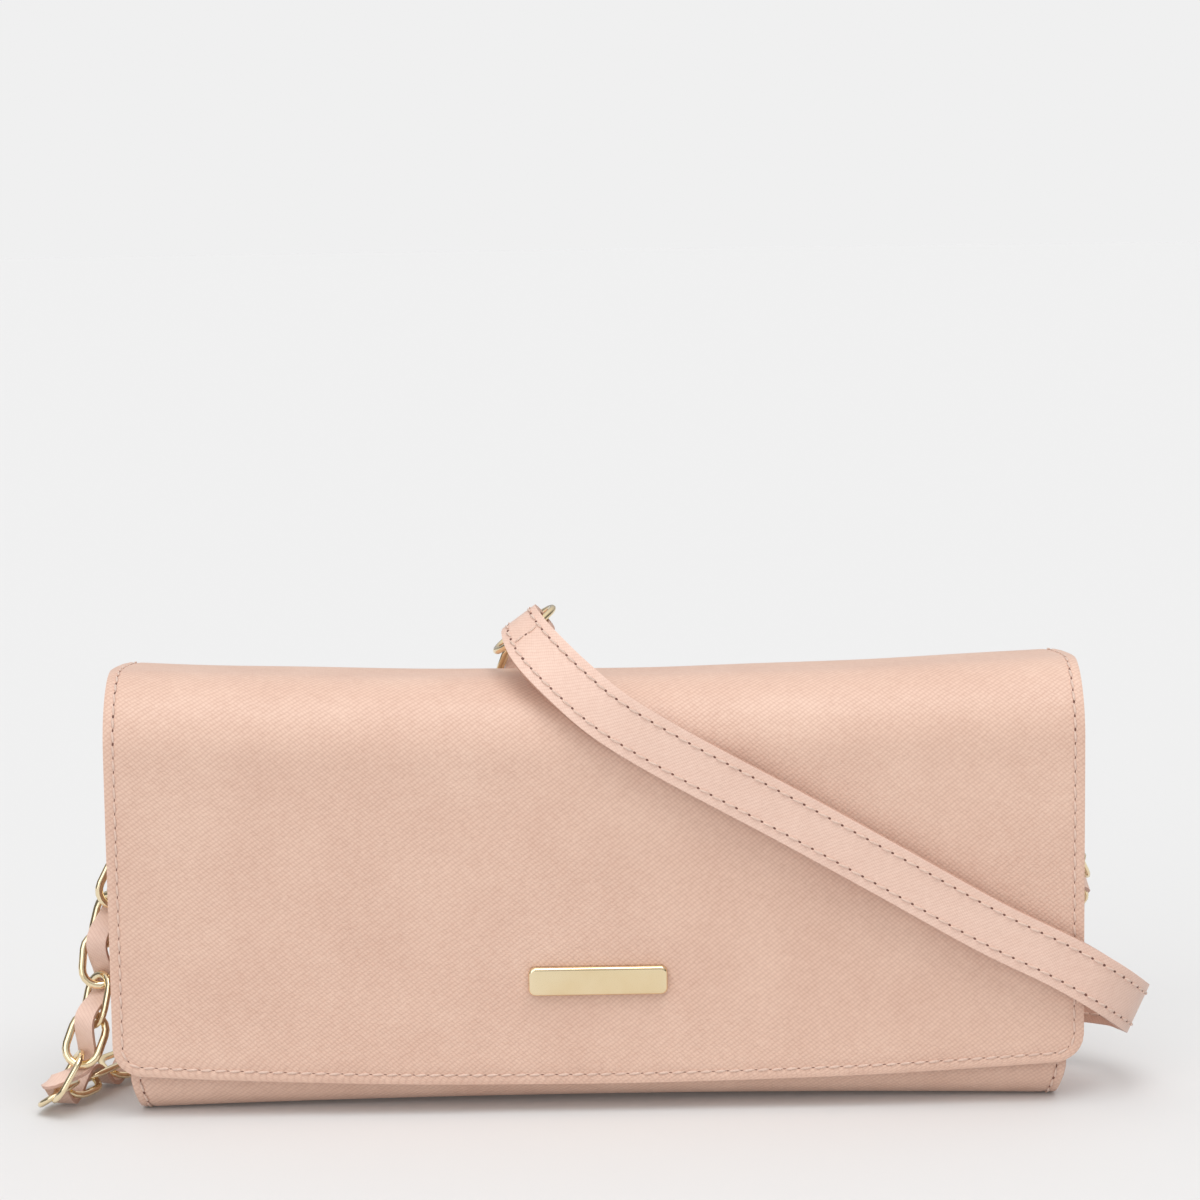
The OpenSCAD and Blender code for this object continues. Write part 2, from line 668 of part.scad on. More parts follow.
chain(left_curve, left_curve_faces, left_stations);  // chain_left
chain(right_curve, right_curve_faces, right_stations);  // chain_right
ribbon(left_curve, left_curve_faces, left_stations);  // ribbon_left
ribbon(right_curve, right_curve_faces, right_stations);  // ribbon_right
translate(upper_ring_at + [0, ring_r, 0]) rotate([0, 90 - upper_ring_lean, 0]) ribbon_loop();  // ribbon_loop_left
translate(lower_ring_at - [ring_r, 0, 0]) ribbon_loop();  // ribbon_loop_right
leather_strap();
translate(upper_ring_at) rotate([0, -upper_ring_lean, 0]) strap_ring();  // strap_ring_upper
translate(lower_ring_at) rotate([90, 0, 0]) strap_ring();  // strap_ring_lower
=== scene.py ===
"""Flap wallet with a detachable wrist strap: leather skins, linings, gold chains and stitching.

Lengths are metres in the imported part's frame: +Z up, the front faces -Y, the floor is z = 0.
"""

import logging
import math
from dataclasses import dataclass, field
from enum import Enum
from typing import Callable, Sequence

import bmesh
import bpy
from mathutils import Matrix, Vector


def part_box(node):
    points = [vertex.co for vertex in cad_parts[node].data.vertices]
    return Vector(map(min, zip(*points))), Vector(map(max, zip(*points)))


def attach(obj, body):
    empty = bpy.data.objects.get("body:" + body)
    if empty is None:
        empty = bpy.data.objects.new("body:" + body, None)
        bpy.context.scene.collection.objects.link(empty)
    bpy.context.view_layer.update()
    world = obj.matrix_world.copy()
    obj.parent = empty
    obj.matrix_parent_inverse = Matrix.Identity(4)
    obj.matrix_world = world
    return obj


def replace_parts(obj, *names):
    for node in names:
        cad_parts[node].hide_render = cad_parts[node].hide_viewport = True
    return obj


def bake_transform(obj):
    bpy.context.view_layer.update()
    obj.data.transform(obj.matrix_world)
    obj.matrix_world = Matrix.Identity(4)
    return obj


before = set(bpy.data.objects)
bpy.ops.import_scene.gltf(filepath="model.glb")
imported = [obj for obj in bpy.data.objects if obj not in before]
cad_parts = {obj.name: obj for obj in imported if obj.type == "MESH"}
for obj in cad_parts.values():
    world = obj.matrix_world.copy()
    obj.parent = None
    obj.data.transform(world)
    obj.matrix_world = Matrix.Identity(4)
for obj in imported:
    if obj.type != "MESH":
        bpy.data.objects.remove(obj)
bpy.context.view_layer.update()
LOG = logging.getLogger("wallet")
MM = 0.001

Place = Callable[[float, float], Vector]


class Body(Enum):
    """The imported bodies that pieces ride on."""

    WALLET = "wallet"
    FRONT = "front"
    FLAP = "flap"


class Slot(Enum):
    """The record's material slot names, passed along with the pieces made here."""

    LEATHER = "outer_leather"
    LINING = "lining_leather"
    GUSSET = "gusset_leather"
    GOLD = "gold_metal"
    BOARD = "board"


# ---- Driving sizes ----


def mm(*values: float) -> Vector:
    """A point given in millimetres, in metres."""
    return Vector(values) * MM


def low(node: str) -> Vector:
    """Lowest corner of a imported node."""
    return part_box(node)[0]


def high(node: str) -> Vector:
    """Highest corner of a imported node."""
    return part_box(node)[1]


@dataclass(frozen=True)
class Plan:
    """Sizes of the body and flap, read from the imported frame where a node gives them."""

    half_w: float = high("back_panel").x
    half_flap: float = high("flap").x
    top_z: float = high("flap").z
    back_y: float = high("back_panel").y
    front_y: float = low("front_panel").y
    flap_y: float = low("flap").y
    flap_edge_z: float = low("flap").z
    mouth_z: float = high("front_panel").z
    seam_y: float = -2 * MM
    foot_r: float = 9 * MM
    nape_r: float = 8 * MM
    shoulder_r: float = 18 * MM
    corner_r: float = 7 * MM
    leather_t: float = 1.6 * MM
    lining_t: float = 0.8 * MM
    strap_w: float = 13 * MM
    strap_t: float = 2.2 * MM
    ring_r: float = 8.65 * MM
    ring_wire_r: float = 0.85 * MM
    link_l: float = 14.5 * MM
    link_w: float = 10 * MM
    link_wire_r: float = 0.9 * MM
    link_pitch: float = 10 * MM
    link_tilt: float = math.radians(25)
    ribbon_w: float = 5.2 * MM
    ribbon_t: float = 1 * MM
    ring_gap: float = 5 * MM
    loop_clear: float = 0.45 * MM
    stitch_inset: float = 2.4 * MM
    stitch_pitch: float = 3.45 * MM


PLAN = Plan()
UPPER_RING_AT = mm(-16.7, 5, 115)
UPPER_RING_LEAN = math.radians(36)
LOWER_RING_AT = mm(-54, 26, 10)

LEFT_ROUTE = [
    (-111.5, 0, 70), (-113.5, -1, 62), (-118.5, -3, 52), (-121.5, -6, 40), (-122.5, -9.5, 28),
    (-125.5, -13.5, 17), (-130, -16.5, 8.5), (-132.5, -13, 4.6), (-130.5, -5, 4.3), (-126, 4.5, 4.3),
    (-121.5, 14, 4.3), (-116, 22, 4.3), (-108, 28, 4.5), (-97, 31.5, 6), (-86, 32.5, 11),
    (-75, 32, 20), (-62, 31, 34), (-49, 29.5, 51), (-38, 28, 68), (-29, 26.5, 84),
    (-22, 24.5, 97), (-18.2, 22, 106.5), (-16.9, 19, 111.5), (-16.2, 15.4, 114.1),
]
LEFT_FACES = [
    (0, -1, 0), (0, -1, 0), (-0.2, -1, 0), (-0.3, -1, 0.1), (-0.4, -1, 0.2),
    (-0.4, -0.8, 0.5), (-0.5, -0.4, 0.8), (-0.2, 0, 1), (0, 0, 1), (0, 0, 1),
    (0, 0, 1), (0, 0, 1), (0, 0.2, 1), (0, 0.6, 0.8), (0, 1, 0.3),
    (0, 1, 0), (0, 1, 0), (0, 1, 0), (0, 1, 0), (0, 1, 0),
    (0, 1, 0.2), (0, 1, 0.4), (0, 0.8, 0.7), (0, 0.6, 0.8),
]
RIGHT_ROUTE = [
    (111.5, 0, 70), (116, 2.5, 62), (120, 6.5, 54.5), (120.5, 13, 48.5), (118.5, 20, 43),
    (111.5, 27, 37), (102, 32, 29), (91, 34.5, 19), (80, 35.5, 10.5), (69, 35.5, 5.5),
    (56, 36, 4.3), (40, 37.5, 4.3), (20, 39.5, 4.3), (0, 41.5, 4.3), (-20, 43, 4.3),
    (-38, 44, 4.3), (-54, 44.5, 4.3), (-67, 42.5, 4.3), (-74, 36.5, 4.6), (-73, 30, 6.4),
    (-68, 27.6, 8.8), (-64.2, 26.6, 10),
]
RIGHT_FACES = [
    (0.6, -0.8, 0), (1, -0.3, 0), (1, 0, 0), (1, 0.2, 0), (0.8, 0.6, 0.2),
    (0.4, 0.9, 0.3), (0.1, 1, 0.3), (0, 1, 0.4), (0, 0.8, 0.7), (0, 0.3, 1),
    (0, 0, 1), (0, 0, 1), (0, 0, 1), (0, 0, 1), (0, 0, 1),
    (0, 0, 1), (0, 0, 1), (0, 0, 1), (0, 0, 1), (-0.4, -0.2, 0.9),
    (-0.2, -0.8, 0.5), (0, -1, 0.1),
]
STRAP_ROUTE = [
    (-9, -14.1, 107.1), (-15.5, -5.8, 112.2), (-15, -0.4, 112.9), (-16.7, 2.3, 115),
    (-18.4, -0.4, 117.1), (-18.2, -4.4, 116.8), (-16.3, -9, 114.7), (-13, -13.4, 111.6), (-6, -19, 105.3),
    (4, -23, 97.3), (20, -24.5, 87.6), (46, -25.5, 73.3), (70, -26, 59.6), (94, -25.6, 45.6),
    (111, -24.6, 36.8), (122, -21.8, 29.8), (130, -13.5, 23), (132.4, -2, 19.4), (129.4, 10, 18.2),
    (119.5, 18.6, 17.4), (105, 20.4, 15.6), (88, 20, 13), (70, 19.4, 10.4), (50, 19, 8),
    (28, 19, 7.1), (4, 19.2, 7), (-18, 20.6, 7.2), (-33, 24.2, 8), (-43, 28.2, 9.5),
    (-48.3, 28.6, 10), (-51.3, 26, 10), (-48.3, 23.4, 10), (-43, 23.8, 9.5), (-33, 21.6, 8),
]
STRAP_FACES = [
    (0.22, 0.76, -0.6), (0.5, 0.35, -0.79), (0.59, 0, -0.81), (0, 1, 0),
    (-0.59, 0, 0.81), (-0.58, -0.2, 0.79), (-0.45, -0.45, 0.77), (-0.3, -0.65, 0.7), (-0.15, -0.87, 0.47),
    (-0.05, -0.97, 0.2), (0, -1, 0.05), (0, -1, 0), (0, -1, 0), (0, -1, 0),
    (0.1, -1, -0.05), (0.45, -0.85, -0.15), (0.8, -0.45, -0.35), (0.9, 0, -0.42), (0.75, 0.6, -0.25),
    (0.35, 0.93, -0.05), (0, 1, 0), (0, 1, 0), (0, 1, 0), (0, 1, 0),
    (0, 1, 0), (0, 1, 0), (0.15, 1, 0), (0.3, 1, 0), (0.2, 1, 0),
    (0, 1, 0), (-1, 0, 0), (0, -1, 0), (-0.2, -1, 0), (-0.3, -1, 0),
]


# ---- Curves and outlines ----


def smooth_ramp(value: float, start: float, end: float) -> float:
    """Rises smoothly from 0 at start to 1 at end."""
    t = min(1.0, max(0.0, (value - start) / (end - start)))
    return t * t * (3 - 2 * t)


class Route:
    """A smooth curve through chosen points, with the direction that its flat side faces."""

    def __init__(self, points: Sequence[Sequence[float]], faces: Sequence[Sequence[float]],
                 steps: int) -> None:
        """Rounds the route off.

        Args:
            points: the route's points, in millimetres.
            faces: the direction of the flat side at each point.
            steps: how many stretches each pair of points is cut into.
        """
        self.points = self._smooth([mm(*p) for p in points], steps)
        self.faces = self._smooth([Vector(f) for f in faces], steps)
        self.stations = [0.0]
        for a, b in zip(self.points, self.points[1:]):
            self.stations.append(self.stations[-1] + (b - a).length)

    @staticmethod
    def _smooth(points: list[Vector], steps: int) -> list[Vector]:
        """Catmull-Rom curve through the points, cut into steps."""
        result = []
        last = len(points) - 1
        for i in range(last):
            p0, p1, p2, p3 = points[max(i - 1, 0)], points[i], points[i + 1], points[min(i + 2, last)]
            for k in range(steps):
                u = k / steps
                result.append(0.5 * (2 * p1 + (p2 - p0) * u + (2 * p0 - 5 * p1 + 4 * p2 - p3) * u * u
                                     + (3 * p1 - p0 - 3 * p2 + p3) * u * u * u))
        result.append(points[last])
        return result

    @property
    def length(self) -> float:
        """Length of the whole route."""
        return self.stations[-1]

    def _along(self, values: list[Vector], s: float) -> Vector:
        """Value at distance s, between the route's points."""
        s = min(max(s, 0.0), self.length)
        lo, hi = 0, len(self.stations) - 1
        while hi - lo > 1:
            mid = (lo + hi) // 2
            if self.stations[mid] <= s:
                lo = mid
            else:
                hi = mid
        share = (s - self.stations[lo]) / (self.stations[hi] - self.stations[lo])
        return values[lo].lerp(values[hi], share)

    def at(self, s: float) -> tuple[Vector, Vector, Vector, Vector]:
        """Position, forward, side and face at distance s."""
        reach = 0.5 * MM
        position = self._along(self.points, s)
        forward = (self._along(self.points, s + reach) - self._along(self.points, s - reach)).normalized()
        raw = self._along(self.faces, s)
        face = (raw - raw.dot(forward) * forward).normalized()
        return position, forward, face.cross(forward), face


@dataclass(frozen=True)
class Line:
    """Straight stretch of an outline, from (y, z) to (y, z)."""

    start: tuple[float, float]
    end: tuple[float, float]

    @property
    def length(self) -> float:
        """Length of the stretch."""
        return math.dist(self.start, self.end)

    def at(self, s: float) -> tuple[float, float, float, float]:
        """Depth, height and heading at distance s."""
        share = s / self.length
        dy = (self.end[0] - self.start[0]) / self.length
        dz = (self.end[1] - self.start[1]) / self.length
        return (self.start[0] + share * self.length * dy, self.start[1] + share * self.length * dz, dy, dz)


@dataclass(frozen=True)
class Arc:
    """Round stretch of an outline, turning from one angle to another."""

    centre: tuple[float, float]
    radius: float
    start: float
    end: float

    @property
    def length(self) -> float:
        """Length of the stretch."""
        return self.radius * math.radians(abs(self.end - self.start))

    def at(self, s: float) -> tuple[float, float, float, float]:
        """Depth, height and heading at distance s."""
        turn = 1 if self.end > self.start else -1
        angle = math.radians(self.start) + turn * s / self.radius
        return (self.centre[0] + self.radius * math.cos(angle),
                self.centre[1] + self.radius * math.sin(angle),
                -turn * math.sin(angle), turn * math.cos(angle))


class Outline:
    """Lines and arcs in depth and height, with the outside on one side."""

    def __init__(self, pieces: Sequence[Line | Arc], outside: int) -> None:
        """Joins the pieces up.

        Args:
            pieces: lines and arcs, end to end.
            outside: 1 where the outside is to the right of the heading, -1 where it is to the left.
        """
        self.pieces = list(pieces)
        self.outside = outside

    @property
    def length(self) -> float:
        """Length of the whole outline."""
        return sum(p.length for p in self.pieces)

    def at(self, s: float) -> tuple[Vector, Vector]:
        """Point and outward normal at distance s, both with x = 0."""
        for piece in self.pieces[:-1]:
            if s <= piece.length:
                break
            s -= piece.length
        else:
            piece = self.pieces[-1]
        y, z, dy, dz = piece.at(s)
        return Vector((0, y, z)), Vector((0, dz, -dy)) * self.outside

    def station_of(self, index: int) -> float:
        """Distance to the start of a piece."""
        return sum(p.length for p in self.pieces[:index])


def skin_outline() -> Outline:
    """The outer leather: bottom seam, back, over the top and down the flap."""
    foot_y = PLAN.back_y - PLAN.foot_r
    nape = (PLAN.back_y - PLAN.nape_r, PLAN.top_z - PLAN.nape_r)
    shoulder = (PLAN.flap_y + PLAN.shoulder_r, PLAN.top_z - PLAN.shoulder_r)
    return Outline([
        Line((PLAN.seam_y, 0), (foot_y, 0)),
        Arc((foot_y, PLAN.foot_r), PLAN.foot_r, -90, 0),
        Line((PLAN.back_y, PLAN.foot_r), (PLAN.back_y, nape[1])),
        Arc(nape, PLAN.nape_r, 0, 90),
        Line((nape[0], PLAN.top_z), (shoulder[0], PLAN.top_z)),
        Arc(shoulder, PLAN.shoulder_r, 90, 180),
        Line((PLAN.flap_y, shoulder[1]), (PLAN.flap_y, PLAN.flap_edge_z)),
    ], outside=1)


def front_outline() -> Outline:
    """The front leather: bottom seam and up to the mouth."""
    foot_y = PLAN.front_y + PLAN.foot_r
    return Outline([
        Line((PLAN.seam_y, 0), (foot_y, 0)),
        Arc((foot_y, PLAN.foot_r), PLAN.foot_r, -90, -180),
        Line((PLAN.front_y, PLAN.foot_r), (PLAN.front_y, PLAN.mouth_z)),
    ], outside=-1)


def settle(point: Vector) -> Vector:
    """Moves a point of the shell the way the leather has settled.

    Args:
        point: the point before it settles.

    Returns:
        The point, lower in the middle of the top and of the flap's edge, a little raised in the
        middle of the bottom, and drawn in at the lower corners.
    """
    top_end, top_sag = 0.8 * MM, 3.2 * MM
    edge_end, edge_sag = 2.4 * MM, 3.6 * MM
    bottom_rise, corner_in, corner_up = 1.5 * MM, 1.7 * MM, 10 * MM
    middle = 1 - min(1.0, (point.x / PLAN.half_w) ** 2)
    top = top_end - top_sag * middle
    bottom = bottom_rise * middle
    edge = edge_end - edge_sag * middle
    share = point.z / PLAN.top_z
    body = bottom + (top - bottom) * share
    flap = edge + (top - edge) * (point.z - PLAN.flap_edge_z) / (PLAN.top_z - PLAN.flap_edge_z)
    on_flap = smooth_ramp(-point.y, -PLAN.front_y, -PLAN.front_y + 2 * MM)
    low = (1 - smooth_ramp(point.z, 0, corner_up)) * (1 - on_flap)
    narrow = corner_in * low * point.x / PLAN.half_w
    return point + Vector((-narrow, 0, body + (flap - body) * on_flap))


# ---- Mesh makers ----


def spread(length: float, step: float, offsets: Sequence[float] = (0, 1), start: float = 0.0
           ) -> list[float]:
    """Stations along a length, even in the middle and closer together at both ends.

    Args:
        length: distance from the first station to the last.
        step: distance between the even ones, which is rounded to fit.
        offsets: distances from each end of the closer ones, in millimetres.
        start: the first station.

    Returns:
        The stations, rising.
    """
    near = [o * MM for o in offsets]
    inner = length - 2 * near[-1]
    count = max(1, round(inner / step))
    middle = [near[-1] + inner * i / count for i in range(1, count)]
    return [start + r for r in near + middle + [length - o for o in reversed(near)]]


def finish_mesh(name: str, bm: bmesh.types.BMesh, materials: Sequence[bpy.types.Material]
                ) -> bpy.types.Object:
    """Turns a bmesh into a smooth-shaded object at the origin.

    Args:
        name: the piece's name.
        bm: the mesh, which is freed.
        materials: its materials, in order.

    Returns:
        The new object.
    """
    for f in bm.faces:
        f.smooth = True
    mesh = bpy.data.meshes.new(name)
    bm.to_mesh(mesh)
    bm.free()
    for m in materials:
        mesh.materials.append(m)
    piece = bpy.data.objects.new(name, mesh)
    bpy.context.scene.collection.objects.link(piece)
    LOG.info("%s: %d faces", name, len(mesh.polygons))
    return piece


def mapped_sheet(name: str, across: Sequence[float], along: Sequence[float], place: Place,
                 materials: Sequence[bpy.types.Material], thickness: float, flip: bool = False,
                 offset: float = -1, edge: float = 0.45 * MM, rim: int = 0, upward: int = 1
                 ) -> bpy.types.Object:
    """A leather sheet: a grid bent to its place, then given its thickness and rounded edges.

    Args:
        name: the piece's name.
        across: the columns' distances, which are also the map's u.
        along: the rows' distances, which are also the map's v.
        place: gives a point's place from its column and row distances.
        materials: the sheet's materials, in order.
        thickness: the sheet's thickness.
        flip: turns the faces over, where columns and rows make them point inwards.
        offset: -1 grows the thickness inwards, 0 both ways.
        edge: radius of the rounded edges.
        rim: index of the edge's material.
        upward: -1 where the rows run down the piece's front, so that the map's v still rises.

    Returns:
        The new object.
    """
    bm = bmesh.new()
    columns, rows = len(across) - 1, len(along) - 1
    bmesh.ops.create_grid(bm, x_segments=columns, y_segments=rows, size=1)
    uv = bm.loops.layers.uv.new("map")
    where = {v: (across[round((v.co.x + 1) / 2 * columns)], along[round((v.co.y + 1) / 2 * rows)])
             for v in bm.verts}
    for f in bm.faces:
        for loop in f.loops:
            u, v = where[loop.vert]
            loop[uv].uv = (u, upward * v)
    for v, (a, b) in where.items():
        v.co = place(a, b)
    if flip:
        bmesh.ops.reverse_faces(bm, faces=bm.faces)
    piece = finish_mesh(name, bm, materials)
    wall = piece.modifiers.new("thickness", "SOLIDIFY")
    wall.thickness = thickness
    wall.offset = offset
    wall.use_even_offset = True
    wall.material_offset_rim = rim
    if edge:
        rounding = piece.modifiers.new("edges", "BEVEL")
        rounding.width = edge
        rounding.segments = 3
        rounding.limit_method = "ANGLE"
        rounding.angle_limit = math.radians(50)
    return piece


def basis(position: Vector, x: Vector, y: Vector, z: Vector) -> Matrix:
    """Placement whose axes are the three given directions."""
    return Matrix(((x.x, y.x, z.x, position.x), (x.y, y.y, z.y, position.y),
                   (x.z, y.z, z.z, position.z), (0, 0, 0, 1)))


class Gathering:
    """Collects many small shapes into one mesh.

    Operators slow down as a mesh grows, so shapes are made on a small mesh that is emptied into the
    whole now and then.
    """

    def __init__(self, batch: int = 24) -> None:
        """Starts empty; batch is how many shapes the small mesh holds."""
        self.whole = bmesh.new()
        self.part = bmesh.new()
        self.batch = batch
        self.count = 0

    def next(self) -> bmesh.types.BMesh:
        """The small mesh to make one more shape on."""
        if self.count == self.batch:
            self.empty()
        self.count += 1
        return self.part

    def empty(self) -> bmesh.types.BMesh:
        """Moves the small mesh's shapes to the whole and returns the whole."""
        carrier = bpy.data.meshes.new("carrier")
        self.part.to_mesh(carrier)
        self.whole.from_mesh(carrier)
        bpy.data.meshes.remove(carrier)
        self.part.clear()
        self.count = 0
        return self.whole


def wire(bm: bmesh.types.BMesh, matrix: Matrix, arc_r: float, straight: float, wide: float, thick: float,
         steps: int = 9, sides: int = 10) -> None:
    """Adds a closed link of flattened wire: two arcs joined by two straight sides.

    Args:
        bm: the mesh to add to.
        matrix: the link's placement, its length along X and its face along Z.
        arc_r: radius of the arcs, at the wire's centre.
        straight: length of the straight sides, 0 for a ring.
        wide: the wire's radius in the link's plane.
        thick: the wire's radius across the link's plane.
        steps: how many steps each arc has.
        sides: how many sides the wire has.
    """
    ring = bmesh.ops.create_circle(bm, segments=sides, radius=1, cap_ends=False)["verts"]
    before = set(bm.verts) - set(ring)
    for v in ring:
        v.co = Vector((-straight / 2, -arc_r + v.co.x * wide, v.co.y * thick))
    edges = list({e for v in ring for e in v.link_edges})
    for end in (1, -1):
        if straight:
            made = bmesh.ops.extrude_edge_only(bm, edges=edges)["geom"]
            bmesh.ops.translate(bm, verts=[g for g in made if isinstance(g, bmesh.types.BMVert)],
                                vec=(end * straight, 0, 0))
            edges = [g for g in made if isinstance(g, bmesh.types.BMEdge)]
        turned = bmesh.ops.spin(bm, geom=edges, cent=(end * straight / 2, 0, 0), axis=(0, 0, 1),
                                angle=math.pi, steps=steps)["geom_last"]
        edges = [g for g in turned if isinstance(g, bmesh.types.BMEdge)]
    verts = [v for v in bm.verts if v not in before]
    bmesh.ops.remove_doubles(bm, verts=verts, dist=0.01 * MM)
    verts = [v for v in bm.verts if v not in before]
    faces = list({f for v in verts for f in v.link_faces})
    bmesh.ops.recalc_face_normals(bm, faces=faces)
    bmesh.ops.transform(bm, matrix=matrix, verts=verts)


@dataclass(frozen=True)
class Thread:
    """A stitch's own size."""

    length: float = 2.75 * MM
    radius: float = 0.34 * MM
    lift: float = 0.12 * MM
    slant: float = math.radians(6)
    hole: float = 0.5 * MM
    hole_narrow: float = 0.75
    hole_depth: float = 0.07 * MM
    hole_sink: float = 0.04 * MM


def stitch_row(sewn: Gathering, spot: Callable[[float], tuple[Vector, Vector, Vector]], length: float,
               thread: Thread = Thread(), pitch: float = PLAN.stitch_pitch, start: float = 0.0) -> None:
    """Sews one row: a stitch in each pitch, and between stitches a flat dark disc, painted shade standing for
    a needle hole.

    Args:
        sewn: where the stitches go; they take material 0 and the painted needle-hole shade 1.
        spot: gives the seam's point, heading and outward normal at a distance.
        length: the seam's length.
        thread: the stitch's own size.
        pitch: distance between needle holes.
        start: where the seam starts.
    """
    count = max(1, round(length / pitch))
    pitch = length / count
    for i in range(count + 1):
        hole_at, heading, normal = spot(start + i * pitch)
        size = thread.hole
        # Needle hole: a flat disc sunk almost level with the leather, coloured dark brown as painted shade
        # for the shadow inside the hole.
        hole = bmesh.ops.create_uvsphere(
            sewn.next(), u_segments=8, v_segments=4, radius=1,
            matrix=basis(hole_at - normal * thread.hole_sink, heading * size,
                         normal.cross(heading) * size * thread.hole_narrow, normal * thread.hole_depth))
        for f in {f for v in hole["verts"] for f in v.link_faces}:
            f.material_index = 1
        if i == count:
            break
        middle, heading, normal = spot(start + (i + 0.5) * pitch)
        tilted = (heading + normal.cross(heading) * math.tan(thread.slant)).normalized()
        bmesh.ops.create_uvsphere(
            sewn.next(), u_segments=6, v_segments=6, radius=1,
            matrix=basis(middle + normal * thread.lift, normal * thread.radius,
                         tilted.cross(normal) * thread.radius, tilted * thread.length / 2))


# ---- Materials ----


def srgb(red: int, green: int, blue: int) -> tuple[float, float, float, float]:
    """A display colour as linear light."""
    def linear(value: float) -> float:
        value /= 255
        return value / 12.92 if value <= 0.04045 else ((value + 0.055) / 1.055) ** 2.4
    return linear(red), linear(green), linear(blue), 1.0


class Graph:
    """Adds nodes to a material or group and joins them up."""

    def __init__(self, tree: bpy.types.NodeTree) -> None:
        """Keeps the tree that nodes are added to."""
        self.tree = tree

    def node(self, kind: str, inputs: dict | None = None, **settings: object) -> bpy.types.Node:
        """Adds a node.

        Args:
            kind: its type, without the ShaderNode prefix.
            inputs: a value or an output socket for each named or numbered input.
            settings: the node's own properties.

        Returns:
            The new node.
        """
        made = self.tree.nodes.new("ShaderNode" + kind)
        for key, value in settings.items():
            setattr(made, key, value)
        for key, value in (inputs or {}).items():
            self.feed(made.inputs[key], value)
        return made

    def feed(self, socket: bpy.types.NodeSocket, value: object) -> None:
        """Gives an input a value, or joins it to an output socket."""
        if isinstance(value, bpy.types.NodeSocket):
            self.tree.links.new(value, socket)
        else:
            socket.default_value = value

    def math(self, operation: str, a: object, b: object = 0.0, clamp: bool = False) -> bpy.types.NodeSocket:
        """One sum of two numbers or sockets."""
        return self.node("Math", {0: a, 1: b}, operation=operation, use_clamp=clamp).outputs[0]

    def blend(self, share: object, a: object, b: object) -> bpy.types.NodeSocket:
        """Mixes two colours by a share from 0 to 1."""
        made = self.node("Mix", {"Factor": share}, data_type="RGBA")
        self.feed(made.inputs[6], a)
        self.feed(made.inputs[7], b)
        return made.outputs[2]

    def span(self, value: object, low_in: float, high_in: float, low_out: float,
             high_out: float) -> bpy.types.NodeSocket:
        """Maps a range of numbers to another, held at both ends."""
        return self.node("MapRange", {"Value": value, "From Min": low_in, "From Max": high_in,
                                      "To Min": low_out, "To Max": high_out}).outputs[0]

    def group(self, tree: bpy.types.NodeTree, inputs: dict) -> bpy.types.Node:
        """Places a shared group."""
        return self.node("Group", inputs, node_tree=tree)


def new_group(name: str, inputs: Sequence[tuple[str, str, float]], outputs: Sequence[str]
              ) -> tuple[Graph, bpy.types.Node, bpy.types.Node]:
    """Makes an empty shared group.

    Args:
        name: the group's name.
        inputs: each input's name, kind and first value.
        outputs: names of its number outputs.

    Returns:
        The group's graph, its input node and its output node.
    """
    tree = bpy.data.node_groups.new(name, "ShaderNodeTree")
    for label, kind, value in inputs:
        socket = tree.interface.new_socket(label, in_out="INPUT", socket_type="NodeSocket" + kind)
        if kind == "Float":
            socket.default_value = value
    for label in outputs:
        tree.interface.new_socket(label, in_out="OUTPUT", socket_type="NodeSocketFloat")
    return Graph(tree), tree.nodes.new("NodeGroupInput"), tree.nodes.new("NodeGroupOutput")


def crosshatch_group() -> bpy.types.NodeTree:
    """Pressed cross-hatched grain: slanted ridges cut across by finer lines, both wandering a little.

    Returns:
        A group with the map in metres as Vector, ridge and line angles and pitches in millimetres,
        and Height and Tint outputs from 0 to 1.
    """
    g, given, out = new_group("crosshatch", [
        ("Vector", "Vector", 0), ("Ridge angle", "Float", 0.5), ("Ridge pitch", "Float", 1),
        ("Line angle", "Float", -0.8), ("Line pitch", "Float", 0.6), ("Wander", "Float", 0.5),
    ], ["Height", "Tint"])
    scaled = g.node("VectorMath", {0: given.outputs["Vector"], 3: 1000.0}, operation="SCALE").outputs[0]
    drift = g.node("TexNoise", {"Vector": scaled, "Scale": 0.28, "Detail": 2.0, "Roughness": 0.6},
                   noise_dimensions="2D").outputs[0]
    wander = g.math("MULTIPLY", g.math("SUBTRACT", drift, 0.5), given.outputs["Wander"])

    def comb(angle: str, pitch: str, sharp: float) -> bpy.types.NodeSocket:
        turned = g.node("VectorRotate", {"Vector": scaled,
                                         "Angle": g.math("MULTIPLY", given.outputs[angle], -1.0)},
                        rotation_type="Z_AXIS").outputs[0]
        height = g.node("SeparateXYZ", {0: turned}).outputs[1]
        phase = g.math("ADD", g.math("DIVIDE", height, given.outputs[pitch]), wander)
        wave = g.math("ABSOLUTE", g.math("SINE", g.math("MULTIPLY", phase, math.pi)))
        return g.math("POWER", wave, sharp)

    ridges = comb("Ridge angle", "Ridge pitch", 0.45)
    lines = comb("Line angle", "Line pitch", 0.5)
    breaks = g.node("TexNoise", {"Vector": scaled, "Scale": 1.1, "Detail": 1.0},
                    noise_dimensions="2D").outputs[0]
    share = g.span(breaks, 0.35, 0.65, 0.5, 0.95)
    cut = g.math("SUBTRACT", 1.0, g.math("MULTIPLY", g.math("SUBTRACT", 1.0, lines), share))
    height = g.math("MULTIPLY", ridges, cut)
    g.tree.links.new(height, out.inputs["Height"])
    g.tree.links.new(g.span(height, 0.25, 0.95, 0.0, 1.0), out.inputs["Tint"])
    return g.tree


